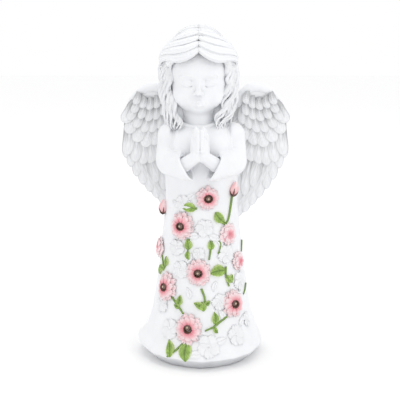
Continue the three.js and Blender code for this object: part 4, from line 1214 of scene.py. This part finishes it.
def moulded(name, base, speckle, roughness, relief=0.04, metal=0.0, scale=500.0):
    """Plastic, rubber or metal: speckled colour, uneven gloss, moulding grain and handling marks."""
    material, s, skin = new_material(name, base)
    wear_and_shade = s.ramp(s.noise(60, 4), 0.45, 0.7)
    colour = s.mix(s.ramp(s.noise(scale, 3), 0.35, 0.65), base, speckle)
    colour = s.mix(s.math("MULTIPLY", wear_and_shade, 0.3), colour, speckle)
    rough = s.math("ADD", s.ramp(s.noise(scale * 0.4, 3), 0.3, 0.7, roughness - 0.07, roughness + 0.07),
                   s.math("MULTIPLY", wear_and_shade, -0.08))
    finish_surface(s, skin, colour, rough, s.noise(scale, 3), relief)
    skin.inputs["Metallic"].default_value = metal
    return material


black_plastic = moulded("black_plastic", (0.018, 0.018, 0.020), (0.040, 0.040, 0.044), 0.48)
bezel = Clay((-27, -40, 1.2), (27, 40, 6.6), 0.4)
bezel.blend(prism(bezel, rounded_outline(*FRAME_SIZE, 4), FRAME_BACK, FRAME_FACE), 0.8)
bezel.carve(prism(bezel, rounded_outline(CELL_SIZE[0] - 2, CELL_SIZE[1] - 2, 2, 0, CELL_Y), 0, 9), 0.9)
bezel.carve(prism(bezel, rounded_outline(6.6, 2.6, 0.8, 0, SWITCH_Y), 0, 9), 0.5)
bezel.carve(prism(bezel, rounded_outline(12, 7, 2, 0, SWITCH_Y), 4.3, 9), 0.6)
for x, y in FRAME_SCREWS:
    bezel.carve(bezel.limb((x, y, 3.6 + 2.1), (x, y, 9), 2.1), 0.4)
    bezel.carve(bezel.limb((x, y, 0), (x, y, 9), 1.2), 0.3)
bezel_points, bezel_faces = bezel.skin(1)
bezel_piece = mesh_piece("moulded_frame", in_solar(bezel_points), bezel_faces)
settle(bezel_piece, black_plastic, "black_plastic", "solar_frame")

# The opening that the unit's tub passes through is cut in the robe's back wall.
cutter_turn = rounded_outline(TUB_SIZE[0] + 0.6, TUB_SIZE[1] + 0.6, 3)
cutter_points = np.concatenate([np.c_[cutter_turn, np.full(64, -30.0)],
                                np.c_[cutter_turn, np.full(64, 0.9)]])
cutter_faces = grid_faces(2, 64, wrap=True) + ring_cap(0, 64, flip=True) + ring_cap(64, 64)
cutter = mesh_piece("cutter", in_solar(cutter_points), cutter_faces)
opening = robe.modifiers.new("opening", "BOOLEAN")
opening.operation, opening.solver, opening.object = "DIFFERENCE", "EXACT", cutter
pierced = bpy.data.meshes.new_from_object(robe.evaluated_get(bpy.context.evaluated_depsgraph_get()))
robe.modifiers.clear()
robe.data = pierced
bpy.data.objects.remove(cutter)

# ---- the solar cell and its window ----
# A dark blue silicon cell with printed silver fingers and two busbars, under a clear window.

cell_face, s, skin = new_material("cell_face", (0.02, 0.035, 0.09))
spot = s.node("TexCoord").outputs["Object"]
crystal = s.node("TexVoronoi", {"Vector": spot, "Scale": 240.0}).outputs["Color"]
silicon = s.mix(0.12, (0.012, 0.022, 0.075), crystal)
silicon = s.mix(s.ramp(s.noise(90), 0.3, 0.7, 0, 0.4), silicon, (0.02, 0.03, 0.05))
silver = s.mix(s.noise(900), (0.55, 0.56, 0.58), (0.75, 0.76, 0.78))
finish_surface(s, skin, s.mix(s.mask("hollow"), silicon, silver), s.ramp(s.noise(300), 0.3, 0.7, 0.22, 0.34),
               s.noise(700), 0.02)


def bar(batch, x0, x1, y0, y1, z0, z1, hollow):
    """A thin closed bar with its top edges taken off."""
    edge = min(x1 - x0, y1 - y0, z1 - z0) * 0.25
    loops = [(0, z0), (0, z1 - edge), (edge, z1)]
    points = [(x, y, z) for inset, z in loops
              for x, y in ((x0 + inset, y0 + inset), (x1 - inset, y0 + inset), (x1 - inset, y1 - inset),
                           (x0 + inset, y1 - inset))]
    faces = grid_faces(3, 4, wrap=True) + ring_cap(0, 4, flip=True) + ring_cap(8, 4)
    batch.add(in_solar(np.array(points)), faces, hollow=hollow)


cell = Batch()
half_x, half_y = CELL_SIZE[0] / 2, CELL_SIZE[1] / 2
bar(cell, -half_x, half_x, CELL_Y - half_y, CELL_Y + half_y, 0.2, 0.92, 0.0)
for k in range(20):
    y = CELL_Y - half_y + 1.6 + k * 2.15
    bar(cell, 1 - half_x, half_x - 1, y, y + 0.22, 0.85, 0.97, 1.0)
for x in (-8, 8):
    bar(cell, x - 0.7, x + 0.7, CELL_Y - half_y + 0.8, CELL_Y + half_y - 0.8, 0.85, 1.0, 1.0)
settle(cell.piece("silicon_cell", smooth=False), cell_face, "cell_face", "solar_cell")

window_glass, s, skin = new_material("window_glass", (0.9, 0.95, 1.0))
finish_surface(s, skin, s.mix(s.noise(40), (0.93, 0.97, 0.98), (0.97, 0.98, 1.0)),
               s.ramp(s.noise(30, 4), 0.5, 0.75, 0.03, 0.12), s.noise(80), 0.01)
skin.inputs["Transmission Weight"].default_value = 1.0
skin.inputs["IOR"].default_value = 1.45
pane = Batch()
bar(pane, -half_x, half_x, CELL_Y - half_y, CELL_Y + half_y, 1.3, 2.3, 0.0)
settle(pane.piece("clear_pane", smooth=False), window_glass, "clear_window", "cell_window")

# ---- the screws ----
# Nickel plated pan screws with a cross recess: four small ones in the frame, three in the base.

plated_steel = moulded("plated_steel", (0.56, 0.56, 0.55), (0.68, 0.67, 0.65), 0.3, 0.02, 1.0, 800.0)


def screw(radius, head_height, shank, length, step):
    """A screw along +Z with its head's top at the origin."""
    clay = Clay((-radius - 0.6, -radius - 0.6, -length - 0.6), (radius + 0.6, radius + 0.6, 0.6), step)
    dome = clay.egg((0, 0, -head_height), (radius * 1.25, radius * 1.25, head_height * 1.02))
    round_head = np.sqrt(clay.x ** 2 + clay.y ** 2) - radius
    clay.blend(np.maximum(np.maximum(dome, round_head), -clay.z - head_height), step)
    clay.blend(clay.limb((0, 0, -head_height), (0, 0, -length + shank), shank), step)
    for reach in ((1, 0), (0, 1)):
        ends = [(radius * 0.5 * way * reach[0], radius * 0.5 * way * reach[1], 0.1) for way in (-1, 1)]
        clay.carve(clay.limb(*ends, radius * 0.17), step)
    clay.carve(clay.limb((0, 0, 0), (0, 0, -head_height * 0.5), radius * 0.2, 0.1), step)
    return clay.skin(1)


small_points, small_faces = screw(1.8, 1.1, 0.9, 8.0, 0.13)
for number, (x, y) in enumerate([(-1, -1), (-1, 1), (1, -1), (1, 1)], 1):
    spot = np.array([x * 22.3, y * 35.3, FRAME_FACE])
    small = mesh_piece(f"small_screw_{number}", in_solar(small_points + spot), small_faces)
    settle(small, plated_steel, "plated_steel", f"frame_screw_{number}")

# ---- the base plate ----
# A flat black plate that closes the hollow robe from below, held by three screws.

BASE_SCREWS = [(0, 31.3), (26.3, -25.2), (-26.3, -25.2)]
plate = Clay((-46, -44, -1.5), (46, 44, 5.5), 0.5)
level = np.zeros_like(around)
plate_edge = robe_surface(around, level, -WALL - 0.5, HEM_BAND + level)[:, :2]
plate.blend(prism(plate, plate_edge, 0.05, 4), 0.8)
for x, y in BASE_SCREWS:
    plate.carve(plate.limb((x, y, -9), (x, y, 2.7 - 3.1), 3.1), 0.4)
    plate.carve(plate.limb((x, y, -9), (x, y, 9), 1.8), 0.4)
for ring in (26.0, 30.0):
    rib = np.maximum(np.abs(np.sqrt(plate.x ** 2 + plate.y ** 2) - ring) - 0.4, np.abs(plate.z) - 0.6)
    plate.carve(rib + 0 * plate.d, 0.5)
plate_points, plate_faces = plate.skin(1)
settle(mesh_piece("closing_plate", plate_points, plate_faces), black_plastic, "black_plastic", "base_plate")
large_points, large_faces = screw(2.8, 2.0, 1.5, 10.0, 0.2)
for number, (x, y) in enumerate(BASE_SCREWS, 1):
    large = mesh_piece(f"large_screw_{number}", large_points * (1, 1, -1) + (x, y, 0.4),
                       [face[::-1] for face in large_faces])
    settle(large, plated_steel, "plated_steel", f"base_screw_{number}")

# ---- the switch knob ----
# A ribbed slider in the frame's lower slot. It moves sideways with the switch under it.

knob_plastic = moulded("knob_plastic", (0.03, 0.03, 0.032), (0.06, 0.06, 0.064), 0.42, 0.03)
KNOB_X = 1.5
slider = Clay((-0.7, SWITCH_Y - 2, -1), (3.8, SWITCH_Y + 2, 7), 0.14)
slider.blend(prism(slider, rounded_outline(2.7, 2.0, 0.3, KNOB_X, SWITCH_Y), -0.3, 6.2), 0.3)
for k in range(3):
    x = KNOB_X - 0.75 + 0.75 * k
    slider.carve(slider.limb((x, SWITCH_Y - 1.4, 6.35), (x, SWITCH_Y + 1.4, 6.35), 0.3), 0.12)
slider_points, slider_faces = slider.skin(1)
knob_piece = mesh_piece("ribbed_knob", in_solar(slider_points), slider_faces)
settle(knob_piece, knob_plastic, "knob_plastic", "switch_knob", body="switch_knob")

# ---- what is inside ----
# The tub, its gasket, the rechargeable cell with its spring and contact, the control board, the
# slide switch, the plug and the six leads keep their plain forms. Each gets its own finish.

inside = {
    "solar_housing": black_plastic,
    "housing_gasket": moulded("gasket_foam", (0.030, 0.030, 0.030), (0.055, 0.055, 0.055), 0.85, 0.10),
    "battery": moulded("battery_sleeve", (0.05, 0.17, 0.075), (0.07, 0.21, 0.10), 0.34, 0.02),
    "battery_spring": plated_steel,
    "battery_contact": plated_steel,
    "control_board": moulded("board_green", (0.012, 0.11, 0.045), (0.02, 0.16, 0.07), 0.38, 0.03),
    "switch_body": plated_steel,
    "lead_plug": moulded("natural_nylon", (0.78, 0.76, 0.68), (0.72, 0.69, 0.60), 0.46, 0.03),
}
lead_sleeve = moulded("lead_sleeve", (0.70, 0.70, 0.67), (0.62, 0.62, 0.60), 0.5, 0.03)
for number in range(1, len(LIT_FLOWERS) + 1):
    inside[f"led_lead_{number}"] = lead_sleeve
for node, material in inside.items():
    shown = frame["nodes"][node]
    shown.data.materials.clear()
    shown.data.materials.append(material)

# ---- camera, lights and floor ----
# A low camera in front of the figure, a bright room and a pale table top.

scene = bpy.context.scene
scene.view_settings.view_transform = "Standard"
ELEVATION = math.radians(12)
DISTANCE = 0.9
aim = Vector((-0.0013, 0.0, 0.1424 + 0.0011))
camera_data = bpy.data.cameras.new("camera")
camera_data.sensor_width = 36
camera_data.lens = 89.3
camera = bpy.data.objects.new("camera", camera_data)
scene.collection.objects.link(camera)
camera.location = aim + DISTANCE * Vector((0, -math.cos(ELEVATION), math.sin(ELEVATION)))
camera.rotation_euler = (aim - camera.location).to_track_quat("-Z", "Y").to_euler()
scene.camera = camera

room = bpy.data.worlds.new("room")
room.use_nodes = True
room.node_tree.nodes["Background"].inputs[0].default_value = (1.0, 1.0, 1.0, 1)
room.node_tree.nodes["Background"].inputs[1].default_value = 1.0
scene.world = room


def soft_light(name, place, size, power, tint=(1, 1, 1)):
    light = bpy.data.lights.new(name, "AREA")
    light.size = size
    light.energy = power
    light.color = tint
    lamp = bpy.data.objects.new(name, light)
    scene.collection.objects.link(lamp)
    lamp.location = place
    lamp.rotation_euler = (Vector((0, 0, 0.15)) - lamp.location).to_track_quat("-Z", "Y").to_euler()


soft_light("key", (0.75, -0.85, 1.0), 0.7, 1.5)
soft_light("top", (-0.1, 0.1, 1.5), 0.9, 2.4)

floor_points = [(-3000, -3000, 0), (3000, -3000, 0), (3000, 3000, 0), (-3000, 3000, 0)]
floor = mesh_piece("floor", floor_points, [[0, 1, 2, 3]], smooth=False)
floor.location.z = -0.0004
floor_paint, s, skin = new_material("floor_paint", (0.9, 0.9, 0.9))
s.put(s.mix(s.noise(3), (0.975, 0.975, 0.98), (0.985, 0.985, 0.985)), skin.inputs["Base Color"])
skin.inputs["Roughness"].default_value = 0.9
floor.data.materials.append(floor_paint)
